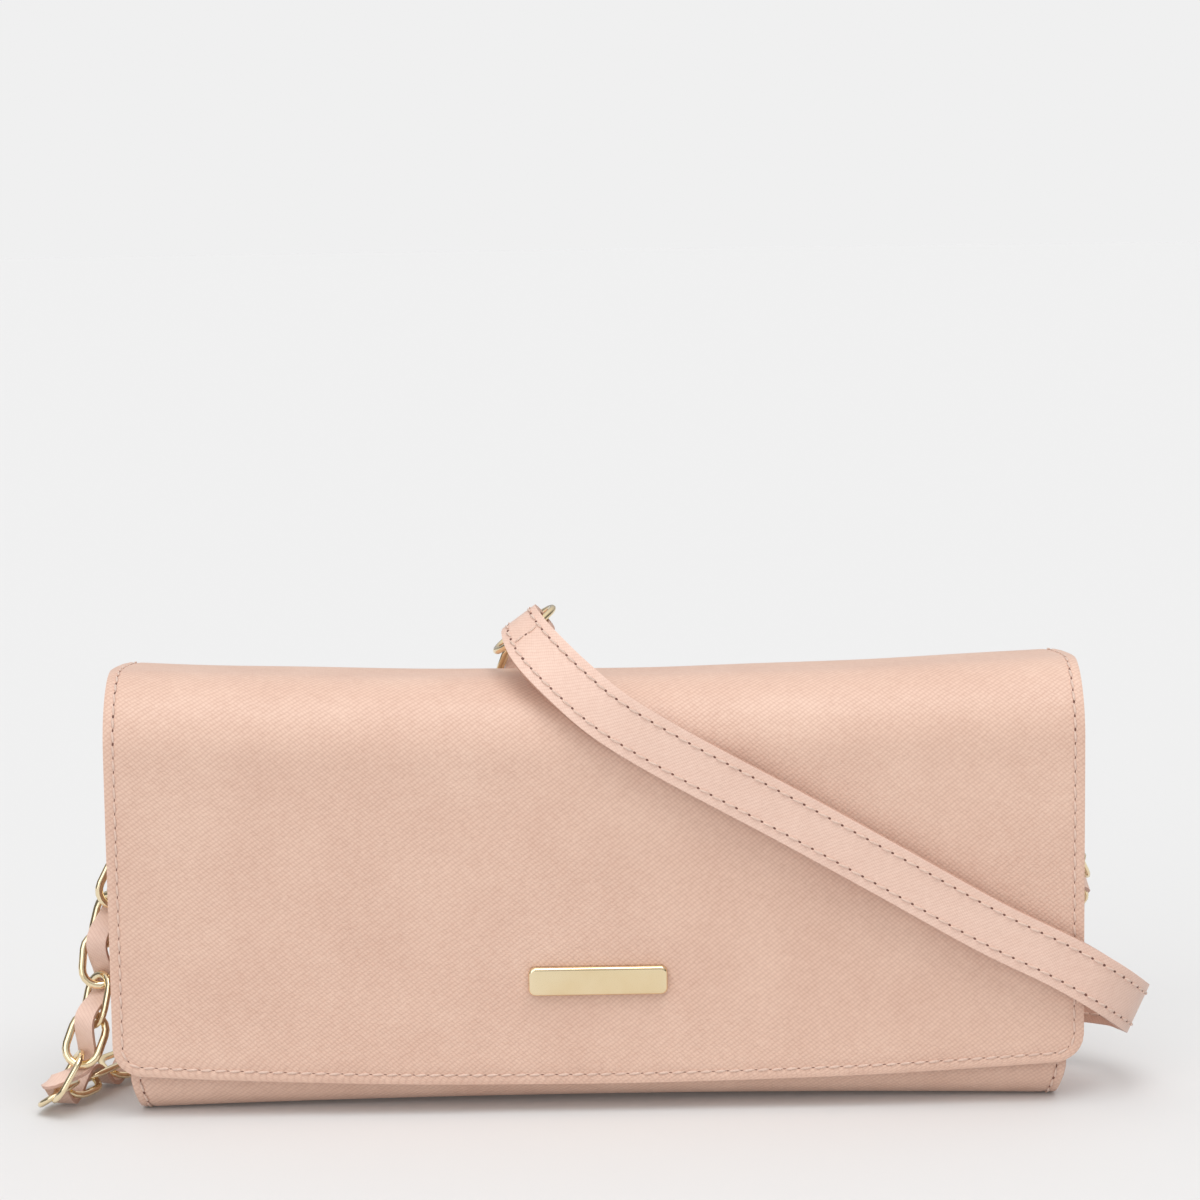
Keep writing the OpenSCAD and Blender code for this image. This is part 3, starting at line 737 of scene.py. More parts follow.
def mottle_group() -> bpy.types.NodeTree:
    """Slow, soft variation over a surface.

    Returns:
        A group with Vector in metres and Patch in millimetres, and a Value output from 0 to 1.
    """
    g, given, out = new_group("mottle", [("Vector", "Vector", 0), ("Patch", "Float", 20)], ["Value"])
    scale = g.math("DIVIDE", 1000.0, given.outputs["Patch"])
    broad = g.node("TexNoise", {"Vector": given.outputs["Vector"], "Scale": scale, "Detail": 3.0,
                                "Roughness": 0.55}).outputs[0]
    g.tree.links.new(g.span(broad, 0.3, 0.7, 0.0, 1.0), out.inputs["Value"])
    return g.tree


CROSSHATCH = crosshatch_group()
MOTTLE = mottle_group()


def new_material(name: str) -> tuple[bpy.types.Material, Graph, bpy.types.Node]:
    """A material with a Principled shader, its graph and the shader."""
    material = bpy.data.materials.new(name)
    material.use_nodes = True
    shader = material.node_tree.nodes["Principled BSDF"]
    return material, Graph(material.node_tree), shader


@dataclass(frozen=True)
class Finish:
    """What every finish has: a name and two tones."""

    name: str
    light: tuple[float, float, float, float]
    deep: tuple[float, float, float, float]

    def surface(self, g: Graph, shader: bpy.types.Node, tone: bpy.types.NodeSocket,
                roughness: bpy.types.NodeSocket, height: bpy.types.NodeSocket, depth: float,
                strength: float) -> None:
        """Joins colour, roughness and relief up to a shader.

        Args:
            g: the material's graph.
            shader: its shader.
            tone: share of the light tone over the deep one.
            roughness: how rough the surface is.
            height: the relief, from 0 to 1.
            depth: the relief's depth.
            strength: how much of the relief shows.
        """
        g.feed(shader.inputs["Base Color"], g.blend(tone, self.deep, self.light))
        g.feed(shader.inputs["Roughness"], roughness)
        bump = g.node("Bump", {"Height": height, "Distance": depth, "Strength": strength})
        g.feed(shader.inputs["Normal"], bump.outputs[0])


@dataclass(frozen=True)
class GrainLeather(Finish):
    """Pressed cross-grain leather on a piece with a map in metres."""

    ridge_angle: float = math.radians(37)
    ridge_pitch: float = 1.05
    line_angle: float = math.radians(-42)
    line_pitch: float = 0.8
    wander: float = 0.7
    relief: float = 0.075 * MM
    roughness: tuple[float, float] = (0.42, 0.58)

    def make(self) -> bpy.types.Material:
        """Builds the material."""
        material, g, shader = new_material(self.name)
        uv = g.node("TexCoord").outputs["UV"]
        solid = g.node("TexCoord").outputs["Object"]
        grain = g.group(CROSSHATCH, {
            "Vector": uv, "Ridge angle": self.ridge_angle, "Ridge pitch": self.ridge_pitch,
            "Line angle": self.line_angle, "Line pitch": self.line_pitch, "Wander": self.wander})
        patches = g.group(MOTTLE, {"Vector": solid, "Patch": 22.0}).outputs[0]
        pores = g.group(MOTTLE, {"Vector": solid, "Patch": 1.6}).outputs[0]
        tone = g.math("ADD", g.math("MULTIPLY", grain.outputs["Tint"], 0.5),
                      g.math("ADD", g.math("MULTIPLY", patches, 0.28), g.math("MULTIPLY", pores, 0.22)))
        rough = g.span(tone, 0.0, 1.0, self.roughness[1], self.roughness[0])
        height = g.math("ADD", grain.outputs["Height"], g.math("MULTIPLY", pores, 0.25))
        self.surface(g, shader, tone, rough, height, self.relief, 0.85)
        shader.inputs["Coat Weight"].default_value = 0.12
        shader.inputs["Coat Roughness"].default_value = 0.4
        shader.inputs["Sheen Weight"].default_value = 0.08
        return material


@dataclass(frozen=True)
class SmoothLeather(Finish):
    """Smooth or split leather with fine pores, for linings, gussets, folded edges and tabs."""

    pore: float = 0.7
    relief: float = 0.05 * MM
    roughness: tuple[float, float] = (0.5, 0.66)

    def make(self) -> bpy.types.Material:
        """Builds the material."""
        material, g, shader = new_material(self.name)
        solid = g.node("TexCoord").outputs["Object"]
        patches = g.group(MOTTLE, {"Vector": solid, "Patch": 16.0}).outputs[0]
        pores = g.node("TexVoronoi", {"Vector": solid, "Scale": 1000 / self.pore}).outputs[0]
        tone = g.math("ADD", g.math("MULTIPLY", patches, 0.5), g.math("MULTIPLY", pores, 0.5), clamp=True)
        rough = g.span(patches, 0.0, 1.0, *self.roughness)
        self.surface(g, shader, tone, rough, pores, self.relief, 0.7)
        return material


@dataclass(frozen=True)
class PolishedMetal(Finish):
    """Plated metal with faint rubbing marks."""

    roughness: tuple[float, float] = (0.12, 0.24)
    relief: float = 0.002 * MM

    def make(self) -> bpy.types.Material:
        """Builds the material."""
        material, g, shader = new_material(self.name)
        solid = g.node("TexCoord").outputs["Object"]
        patches = g.group(MOTTLE, {"Vector": solid, "Patch": 14.0}).outputs[0]
        rubs = g.node("TexNoise", {"Vector": solid, "Scale": 1800.0, "Detail": 3.0}).outputs[0]
        rough = g.span(g.math("ADD", patches, rubs), 0.4, 1.6, *self.roughness)
        self.surface(g, shader, patches, rough, rubs, self.relief, 0.3)
        shader.inputs["Metallic"].default_value = 1.0
        return material


@dataclass(frozen=True)
class Woven(Finish):
    """Woven tape or thread, its ribs running across the piece's X."""

    rib: float = 0.45
    slant: float = 0.0

    def make(self) -> bpy.types.Material:
        """Builds the material."""
        material, g, shader = new_material(self.name)
        solid = g.node("TexCoord").outputs["Object"]
        axes = g.node("SeparateXYZ", {0: solid})
        upward = g.math("ADD", axes.outputs[1], axes.outputs[2])
        turns = 2 * math.pi / (self.rib * MM)
        leaning = g.math("ADD", axes.outputs[0], g.math("MULTIPLY", upward, self.slant))
        warp = g.math("SINE", g.math("MULTIPLY", leaning, turns))
        weft = g.math("SINE", g.math("MULTIPLY", upward, turns))
        height = g.span(g.math("MULTIPLY", warp, weft), -1.0, 1.0, 0.0, 1.0)
        fuzz = g.group(MOTTLE, {"Vector": solid, "Patch": 1.2}).outputs[0]
        tone = g.math("ADD", g.math("MULTIPLY", height, 0.6), g.math("MULTIPLY", fuzz, 0.4))
        self.surface(g, shader, tone, g.span(fuzz, 0.0, 1.0, 0.7, 0.85), height, 0.08 * MM, 0.8)
        shader.inputs["Sheen Weight"].default_value = 0.3
        return material


class Finishes:
    """Every finish of the wallet, made once."""

    def __init__(self) -> None:
        """Builds the materials."""
        light, deep = srgb(233, 199, 179), srgb(206, 165, 145)
        self.leather = GrainLeather("cross_grain_leather", light, deep).make()
        self.strap = GrainLeather("strap_leather", srgb(240, 208, 191), srgb(219, 181, 163), relief=0.05 * MM,
                                  ridge_angle=math.radians(40), line_angle=math.radians(-60), ridge_pitch=0.8,
                                  line_pitch=0.5).make()
        self.edge = SmoothLeather("edge_paint", srgb(216, 178, 160), srgb(194, 152, 134), relief=0.02 * MM,
                                  roughness=(0.38, 0.5)).make()
        self.lining = SmoothLeather("lining_leather", srgb(214, 184, 168), srgb(194, 160, 143)).make()
        self.gusset = SmoothLeather("gusset_leather", srgb(222, 186, 168), srgb(198, 158, 138)).make()
        self.gold = PolishedMetal("pale_gold", srgb(245, 228, 192), srgb(236, 213, 170),
                                  roughness=(0.08, 0.16)).make()
        self.steel = PolishedMetal("steel", srgb(200, 200, 202), srgb(168, 168, 172),
                                   roughness=(0.25, 0.4)).make()
        self.thread = Woven("thread", srgb(242, 215, 199), srgb(220, 186, 168), rib=0.35, slant=0.8).make()
        # Needle holes: dark brown painted shade, standing for the shadow inside each hole; no hole is cut.
        self.hole = SmoothLeather("needle_hole_painted_shade", srgb(128, 84, 70), srgb(98, 62, 52), relief=0.01 * MM).make()
        self.tape = Woven("zip_tape", srgb(214, 178, 160), srgb(186, 148, 130), rib=0.6).make()
        self.board = SmoothLeather("stiffener_board", srgb(186, 160, 128), srgb(158, 132, 102),
                                   pore=1.6).make()


# ---- The shell ----


def band(across: float, half: float) -> float:
    """Place across a row whose half width differs from the full one, keeping distances to the edge.

    Args:
        across: distance from the middle on the widest row.
        half: this row's half width.

    Returns:
        Distance from the middle on this row.
    """
    margin = 6 * MM
    full = PLAN.half_flap
    if abs(across) > full - margin:
        return math.copysign(half - (full - abs(across)), across)
    return across * (half - margin) / (full - margin)


def groove(distance: float) -> float:
    """How far leather dips at a distance from its edge: a rolled edge and a pulled-in seam."""
    roll_depth, roll_w = 0.28 * MM, 1.3 * MM
    seam_depth, seam_w = 0.24 * MM, 0.8 * MM
    roll = roll_depth * (1 - smooth_ramp(distance, 0, roll_w))
    pull = seam_depth * math.exp(-((distance - PLAN.stitch_inset) / seam_w) ** 2)
    return roll + pull


@dataclass
class Shell:
    """The wallet's skins and linings: back, flap, front, gussets and the bottom board."""

    finishes: Finishes
    column_step: float = 2.6 * MM
    row_step: float = 2.4 * MM
    wave: float = 0.15 * MM
    ornament_up: float = 25 * MM
    quiet_r: tuple[float, float] = (18 * MM, 34 * MM)
    edge_offsets: tuple[float, ...] = (0, 0.5, 1.2, 1.9, 2.4, 2.9, 3.6, 5)
    corner_offsets: tuple[float, ...] = (0, 0.12, 0.5, 1.2, 1.9, 2.4, 2.9, 3.6, 5, 7)

    def __post_init__(self) -> None:
        """Draws the outlines that every layer follows."""
        self.skin = skin_outline()
        self.front = front_outline()
        self.neck_start = self.skin.station_of(3)
        self.neck_end = self.skin.station_of(5)

    def half_width(self, s: float) -> float:
        """Half width of the outer skin at a distance along its outline, with round lower corners."""
        half = PLAN.half_w + (PLAN.half_flap - PLAN.half_w) * smooth_ramp(s, self.neck_start, self.neck_end)
        left = self.skin.length - s
        r = PLAN.corner_r
        if left < r:
            half -= r - math.sqrt(max(0.0, r * r - (r - left) ** 2))
        return half

    def edge_distance(self, x: float, s: float) -> float:
        """Distance of a point of the outer skin from the flap's rounded edge."""
        r = PLAN.corner_r
        half = PLAN.half_w + (PLAN.half_flap - PLAN.half_w) * smooth_ramp(s, self.neck_start, self.neck_end)
        side, end = half - abs(x), self.skin.length - s
        if side < r and end < r:
            return r - math.hypot(r - side, r - end)
        return min(side, end)

    def softness(self, x: float, s: float) -> float:
        """Slight unevenness of the leather, none of it under the ornament."""
        u, v = x / MM, s / MM
        wave = math.sin(u / 19 + 1.3) * math.sin(v / 23 + 0.4) + 0.6 * math.sin(u / 8.7 + v / 13)
        away = math.hypot(x, (self.skin.length - s) - self.ornament_up)
        return self.wave * wave * smooth_ramp(away, *self.quiet_r)

    def on_skin(self, x: float, s: float, lift: float = 0.0) -> Vector:
        """Point of the outer skin, raised by a lift along its normal."""
        point, normal = self.skin.at(s)
        dip = groove(self.edge_distance(x, s))
        shaped = point + normal * (lift - dip + self.softness(x, s)) + Vector((x, 0, 0))
        return settle(shaped)

    def seam(self, x: float, s: float, dx: float, ds: float, on: Callable[[float, float], Vector]
             ) -> tuple[Vector, Vector, Vector]:
        """Point, heading and outward normal on a skin.

        Args:
            x: place across the skin.
            s: place along it.
            dx: the seam's heading across.
            ds: the seam's heading along.
            on: gives the skin's points.

        Returns:
            The seam's point, heading and outward normal.
        """
        small = 0.4 * MM
        here = on(x, s)
        heading = (on(x + dx * small, s + ds * small) - on(x - dx * small, s - ds * small)).normalized()
        across = on(x + small, s) - on(x - small, s)
        along = on(x, s + small) - on(x, s - small)
        normal = along.cross(across).normalized()
        return here, heading, normal

    def add(self, piece: bpy.types.Object, slot: Slot, *nodes: str) -> bpy.types.Object:
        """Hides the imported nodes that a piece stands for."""
        if nodes:
            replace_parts(piece, *nodes)
        return piece

    def bend_flap(self, piece: bpy.types.Object) -> None:
        """Bakes a piece's placement into its mesh."""
        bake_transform(piece)

    def bend_front(self, piece: bpy.types.Object) -> None:
        """Bakes a piece's placement into its mesh."""
        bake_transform(piece)

    def make_skin(self) -> None:
        """The one piece of leather that makes the back, the top and the flap."""
        rows = spread(self.skin.length, self.row_step, self.corner_offsets)
        columns = spread(2 * PLAN.half_flap, self.column_step, self.edge_offsets, -PLAN.half_flap)
        piece = mapped_sheet(
            "outer_leather_skin", columns, rows,
            lambda c, s: self.on_skin(band(c, self.half_width(s)), s),
            [self.finishes.leather, self.finishes.edge], PLAN.leather_t, flip=True, rim=1, upward=-1)
        self.bend_flap(self.add(piece, Slot.LEATHER, "back_panel", "flap"))

    def on_front(self, x: float, s: float, lift: float = 0.0) -> Vector:
        """Point of the front skin, raised by a lift along its normal."""
        point, normal = self.front.at(s)
        dip = groove(min(PLAN.half_w - abs(x), self.front.length - s))
        return settle(point + normal * (lift - dip) + Vector((x, 0, 0)))

    def make_front(self) -> None:
        """The front's outer leather."""
        rows = spread(self.front.length, self.row_step, self.edge_offsets)
        columns = spread(2 * PLAN.half_w, self.column_step, self.edge_offsets, -PLAN.half_w)
        piece = mapped_sheet("front_leather", columns, rows, self.on_front,
                             [self.finishes.leather, self.finishes.edge], PLAN.leather_t, rim=1)
        self.bend_front(self.add(piece, Slot.LEATHER, "front_panel"))

    def inner(self, outline: Outline, x: float, s: float, inset: float) -> Vector:
        """Point of a lining that follows an outline, set in from it."""
        point, normal = outline.at(s)
        return settle(point - normal * inset + Vector((x, 0, 0)))

    def make_linings(self) -> None:
        """Linings of the back and flap, of the front, and of the bottom."""
        start = self.skin.station_of(1) + 0.9 * self.skin.pieces[1].length
        length = self.skin.length - start - 0.8 * MM
        gap = 0.08 * MM

        def lining_half(s: float) -> float:
            return self.half_width(min(s, self.skin.length - 1.5 * MM)) - 0.9 * MM

        piece = mapped_sheet(
            "flap_and_back_lining",
            spread(2 * PLAN.half_flap, 4 * MM, (0, 1, 3), -PLAN.half_flap),
            spread(length, 2.6 * MM, (0, 0.4, 1, 2, 4), start),
            lambda c, s: self.inner(self.skin, band(c, lining_half(s)), s, PLAN.leather_t + gap),
            [self.finishes.lining], PLAN.lining_t - gap, flip=True, edge=0.25 * MM)
        self.bend_flap(self.add(piece, Slot.LINING, "back_lining", "flap_lining"))
        low_start = self.front.station_of(2)
        half = PLAN.half_w - 1 * MM
        piece = mapped_sheet(
            "front_lining_leather", spread(2 * half, 4 * MM, (0, 1, 3), -half),
            spread(self.front.length - low_start, 3 * MM, start=low_start),
            lambda c, s: self.inner(self.front, c, s, PLAN.leather_t + gap), [self.finishes.lining],
            PLAN.lining_t - gap, edge=0.25 * MM)
        self.bend_front(self.add(piece, Slot.LINING, "front_lining"))
        for node, finish, slot in (("bottom_board", self.finishes.board, Slot.BOARD),
                                   ("bottom_lining", self.finishes.lining, Slot.LINING)):
            a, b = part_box(node)
            piece = mapped_sheet(
                node + "_sheet", spread(b.x - a.x, 5 * MM, start=a.x),
                spread(b.y - a.y, 3 * MM, start=a.y),
                lambda x, y, top=b.z: settle(Vector((x, y, top + 0.1 * MM))), [finish], b.z - a.z - 0.05 * MM,
                edge=0.2 * MM)
            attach(self.add(piece, slot, node), Body.WALLET.value)

    def make_gussets(self) -> None:
        """The folded side pieces, one at each end, drawn in towards the bottom lining."""
        for name, side in (("left", -1), ("right", 1)):
            box_low, box_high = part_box("gusset_" + name)
            outer = max(abs(box_low.x), abs(box_high.x)) - 0.2 * MM
            inner = min(abs(box_low.x), abs(box_high.x)) + 1.15 * MM
            turn = 1.2 * MM
            inner_r = PLAN.foot_r - PLAN.leather_t
            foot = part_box("bottom_lining")[1].z + 0.4 * MM
            fold = Outline([Line((outer, box_low.y), (inner, -turn)),
                            Line((inner, -turn), (inner, turn)),
                            Line((inner, turn), (outer, box_high.y))], outside=1)

            def place(u: float, z: float, outline: Outline = fold, sign: int = side) -> Vector:
                flat, _ = outline.at(u)
                before, _ = outline.at(max(0.0, u - turn))
                after, _ = outline.at(min(outline.length, u + turn))
                soft = (before + flat + after) / 3
                drop = max(0.0, PLAN.foot_r - z)
                pull = inner_r - math.sqrt(inner_r * inner_r - drop * drop)
                return settle(Vector((sign * soft.y, soft.z * (1 - pull / PLAN.back_y), z)))

            piece = mapped_sheet(
                "gusset_leather_" + name, spread(fold.length, turn, (0, 0.6)),
                spread(box_high.z - foot, 2.5 * MM, (0, 0.6, 1.6), foot), place,
                [self.finishes.gusset, self.finishes.edge], 1 * MM, flip=side < 0, rim=1, edge=0.3 * MM)
            self.add(piece, Slot.GUSSET, "gusset_" + name)
            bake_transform(piece)

    def stitches(self, name: str, rows: Callable[[Gathering], None]) -> bpy.types.Object:
        """Makes a piece out of sewn rows."""
        sewn = Gathering()
        rows(sewn)
        piece = finish_mesh(name, sewn.empty(), [self.finishes.thread, self.finishes.hole])
        return piece

    def make_stitches(self) -> None:
        """Rows along the flap's edges and over the back, and at both ends of the front."""
        inset, r = PLAN.stitch_inset, PLAN.corner_r
        turn_r = r - inset
        end = self.skin.length - inset
        foot = self.skin.station_of(1)

        def skin_rows(sewn: Gathering) -> None:
            for side in (-1, 1):
                stitch_row(sewn, lambda s, side=side: self.seam(side * (self.half_width(s) - inset), s, 0, 1,
                                                              self.on_skin),
                           end - turn_r - foot, start=foot)

                def corner(d: float, side: int = side) -> tuple[Vector, Vector, Vector]:
                    angle = d / turn_r
                    x = PLAN.half_flap - r + turn_r * math.cos(angle)
                    s = self.skin.length - r + turn_r * math.sin(angle)
                    return self.seam(side * x, s, -side * math.sin(angle), math.cos(angle), self.on_skin)

                stitch_row(sewn, corner, turn_r * math.pi / 2)
            width = 2 * (PLAN.half_flap - r)
            stitch_row(sewn, lambda x: self.seam(x - width / 2, end, 1, 0, self.on_skin), width)

        self.bend_flap(self.stitches("skin_stitches", skin_rows))

        def front_rows(sewn: Gathering) -> None:
            start = self.front.station_of(1)

            def outward(x: float, s: float, dx: float, ds: float) -> tuple[Vector, Vector, Vector]:
                here, heading, normal = self.seam(x, s, dx, ds, self.on_front)
                return here, heading, -normal

            for side in (-1, 1):
                stitch_row(sewn, lambda s, side=side: outward(side * (PLAN.half_w - inset), s, 0, 1),
                           self.front.length - inset - start, start=start)
            width = 2 * (PLAN.half_w - inset)
            mouth = self.front.length - inset
            stitch_row(sewn, lambda x: outward(x - width / 2, mouth, 1, 0), width)

        self.bend_front(self.stitches("front_stitches", front_rows))

    def build(self) -> None:
        """Makes every part of the shell."""
        self.make_skin()
        self.make_front()
        self.make_linings()
        self.make_gussets()
        self.make_stitches()


# ---- Strap, chains and ornament ----


class Closed(Enum):
    """Which side of a strip a seam lies on."""

    OUTER = 1
    INNER = -1


@dataclass
class LeatherStrap:
    """The strap's leather middle, folded round a ring at each end."""

    finishes: Finishes
    row_step: float = 2.2 * MM
    fold_step: float = 0.9 * MM
    seam_inset: float = 2.3 * MM
    half_columns: tuple[float, ...] = (1.5, 3, 3.6, 4.2, 4.8, 5.4, 6.1, 6.5)
    fold_length: float = 26 * MM
    pinch_start: float = 20 * MM
    pinch_end: float = 44 * MM
    pinch: float = 0.27
    pinch_shift: float = 1.75 * MM
    end_margin: float = 0.6 * MM

    def __post_init__(self) -> None:
        """Rounds the strap's route off."""
        self.route = Route(STRAP_ROUTE, STRAP_FACES, 8)

    def spot(self, s: float) -> tuple[Vector, Vector, Vector, Vector]:
        """Point, forward, side and face of the route, which is read no closer to its ends than a margin."""
        return self.route.at(min(max(s, self.end_margin), self.route.length - self.end_margin))

    def on(self, x: float, s: float, lift: float = 0.0) -> Vector:
        """Point of the strap's middle layer, x across it, raised by a lift along its face."""
        at, _, side, face = self.spot(s)
        return at + side * self.pinched(x, s) + face * lift

    def pinched(self, x: float, s: float) -> float:
        """Place across the strap once it narrows towards the folds, and leans up the upper ring."""
        share = 1 - smooth_ramp(min(s, self.route.length - s), self.pinch_start, self.pinch_end)
        shift = self.pinch_shift if s < self.route.length / 2 else 0.0
        return x * (1 - self.pinch * share) + shift * share

    def rows(self) -> list[float]:
        """Stations along the strap, closer together at both folds."""
        length = self.route.length
        stations, s = [], 0.0
        while s < length:
            stations.append(s)
            folded = min(s, length - s) < self.fold_length
            s += self.fold_step if folded else self.row_step
        return stations + [length]

    def bend(self, piece: bpy.types.Object) -> None:
        """Bakes a piece's placement into its mesh."""
        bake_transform(piece)

    def seam(self, x: float, s: float, dx: float, ds: float, layer: Closed) -> tuple[Vector, Vector, Vector]:
        """Point, heading and outward normal on one face of the strap."""
        at, forward, side, face = self.spot(s)
        lift = PLAN.strap_t / 2 * layer.value
        return (at + side * self.pinched(x, s) + face * lift, (side * dx + forward * ds).normalized(),
                face * layer.value)

    def make_stitches(self) -> bpy.types.Object:
        """Two rows along both faces, and a short row across the strap below each fold."""
        sewn = Gathering()
        seam = PLAN.strap_w / 2 - self.seam_inset
        length = self.route.length
        clear = self.fold_length
        for layer in Closed:
            for x in (-seam, seam):
                stitch_row(sewn, lambda d, x=x, layer=layer: self.seam(x, d, 0, 1, layer),
                           length - clear - 9 * MM, start=clear - 3 * MM)
        for s in (clear + 9 * MM, length - clear - 10 * MM):
            stitch_row(sewn, lambda d, s=s: self.seam(d, s, 1, 0, Closed.OUTER), 2 * seam, start=-seam)
        return finish_mesh("strap_stitches", sewn.empty(), [self.finishes.thread, self.finishes.hole])

    def build(self) -> None:
        """Makes the strap and its stitching."""
        across = [c * MM for c in (*(-h for h in reversed(self.half_columns)), 0, *self.half_columns)]
        piece = mapped_sheet("leather_strap_band", across, self.rows(), self.on,
                             [self.finishes.strap, self.finishes.edge], PLAN.strap_t, offset=0,
                             edge=0.5 * MM, rim=1)
        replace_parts(piece, "leather_strap")
        stitches = self.make_stitches()
        self.bend(piece)
        self.bend(stitches)
        self.on(0, 0)
        round(self.route.length, 3)
        [list(self.on(0, s)) for s in spread(self.route.length, 3 * MM)]


@dataclass
class WovenChain:
    """A gold chain with a leather ribbon woven through it."""

    finishes: Finishes
    name: str
    route: Route
    ring_at: Vector
    ring_axis: Vector
    wire_wide: float = 1.0 * MM
    wire_thick: float = 0.78 * MM
    ribbon_start: float = 3 * MM
    fade: float = 9 * MM
    tail: float = 8 * MM

    @property
    def count(self) -> int:
        """How many links the chain has."""
        return round((self.route.length - PLAN.ring_gap - PLAN.link_l) / PLAN.link_pitch) + 1

    @property
    def spacing(self) -> float:
        """Distance between links."""
        return (self.route.length - PLAN.ring_gap - PLAN.link_l) / (self.count - 1)

    @property
    def first(self) -> float:
        """Distance to the first link's middle."""
        return PLAN.link_l / 2 - PLAN.link_wire_r

    def make_links(self) -> bpy.types.Object:
        """Makes the chain's links, tilted alternately each way."""
        links = Gathering(batch=1)
        for i in range(self.count):
            at, forward, side, face = self.route.at(self.first + i * self.spacing)
            tilt = PLAN.link_tilt if i % 2 == 0 else -PLAN.link_tilt
            matrix = basis(at, forward, side, face) @ Matrix.Rotation(tilt, 4, "X")
            wire(links.next(), matrix, PLAN.link_w / 2 - PLAN.link_wire_r, PLAN.link_l - PLAN.link_w,
                 self.wire_wide, self.wire_thick)
        piece = finish_mesh(self.name + "_links", links.empty(), [self.finishes.gold])
        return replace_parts(piece, "chain_" + self.name)

    def ribbon_line(self) -> list[tuple[Vector, Vector, Vector]]:
        """The ribbon's middle line: woven, then round the ring's wire and back under itself.

        Returns:
            Point, side and face at each step.
        """
        weave = PLAN.link_w / 2 - PLAN.link_wire_r - 0.8 * MM
        end = self.route.length
        loop_r = PLAN.ring_wire_r + PLAN.loop_clear + PLAN.ribbon_t / 2
        line = []
        at, _, side, face = self.route.at(end - 0.6 * MM)
        flat = self.ring_at - at
        towards = (flat - flat.dot(side) * side).normalized()
        axis = self.ring_axis if self.ring_axis.dot(side) > 0 else -self.ring_axis
        up = towards.cross(axis).normalized()
        if up.dot(face) < 0:
            up = -up
        joined = end - 4.5 * MM
        steps = int((joined - self.ribbon_start) / (1.1 * MM))
        for i in range(steps + 1):
            s = self.ribbon_start + (joined - self.ribbon_start) * i / steps
            here, _, across, out = self.route.at(s)
            rise = weave * min(1.0, (end - s) / self.fade) * math.cos(
                math.pi * (s - self.first - self.spacing / 2) / self.spacing)
            line.append((here + out * rise, across, out))
        turns = 16
        top = self.ring_at + up * loop_r
        before, across, out = line[-1]
        for i in (1, 2, 3):
            share = i / 4
            line.append((before.lerp(top, share), across.lerp(axis, share).normalized(),
                         out.lerp(up, share).normalized()))
        for i in range(turns + 1):
            angle = math.pi * i / turns
            spoke = up * math.cos(angle) + towards * math.sin(angle)
            line.append((self.ring_at + spoke * loop_r, axis, spoke))
        for i in range(1, 8):
            back = self.tail * i / 7
            line.append((self.ring_at - up * (loop_r + 0.15 * MM * i) - towards * back, axis, -up))
        return line

    def make_ribbon(self) -> bpy.types.Object:
        """Makes the ribbon as a thin leather strip.


        Returns:
            The ribbon.
        """
        line = self.ribbon_line()
        stations = [0.0]
        for a, b in zip(line, line[1:]):
            stations.append(stations[-1] + (b[0] - a[0]).length)
        where = dict(zip(stations, line))
        half = PLAN.ribbon_w / 2
        across = [-half, -half * 0.8, -half * 0.4, 0, half * 0.4, half * 0.8, half]

        def place(x: float, s: float) -> Vector:
            at, side, _ = where[s]
            return at + side * x

        piece = mapped_sheet(self.name + "_ribbon", across, stations, place,
                             [self.finishes.strap, self.finishes.edge], PLAN.ribbon_t, offset=0,
                             edge=0.25 * MM, rim=1)
        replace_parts(piece, "ribbon_" + self.name, "ribbon_loop_" + self.name)
        return piece


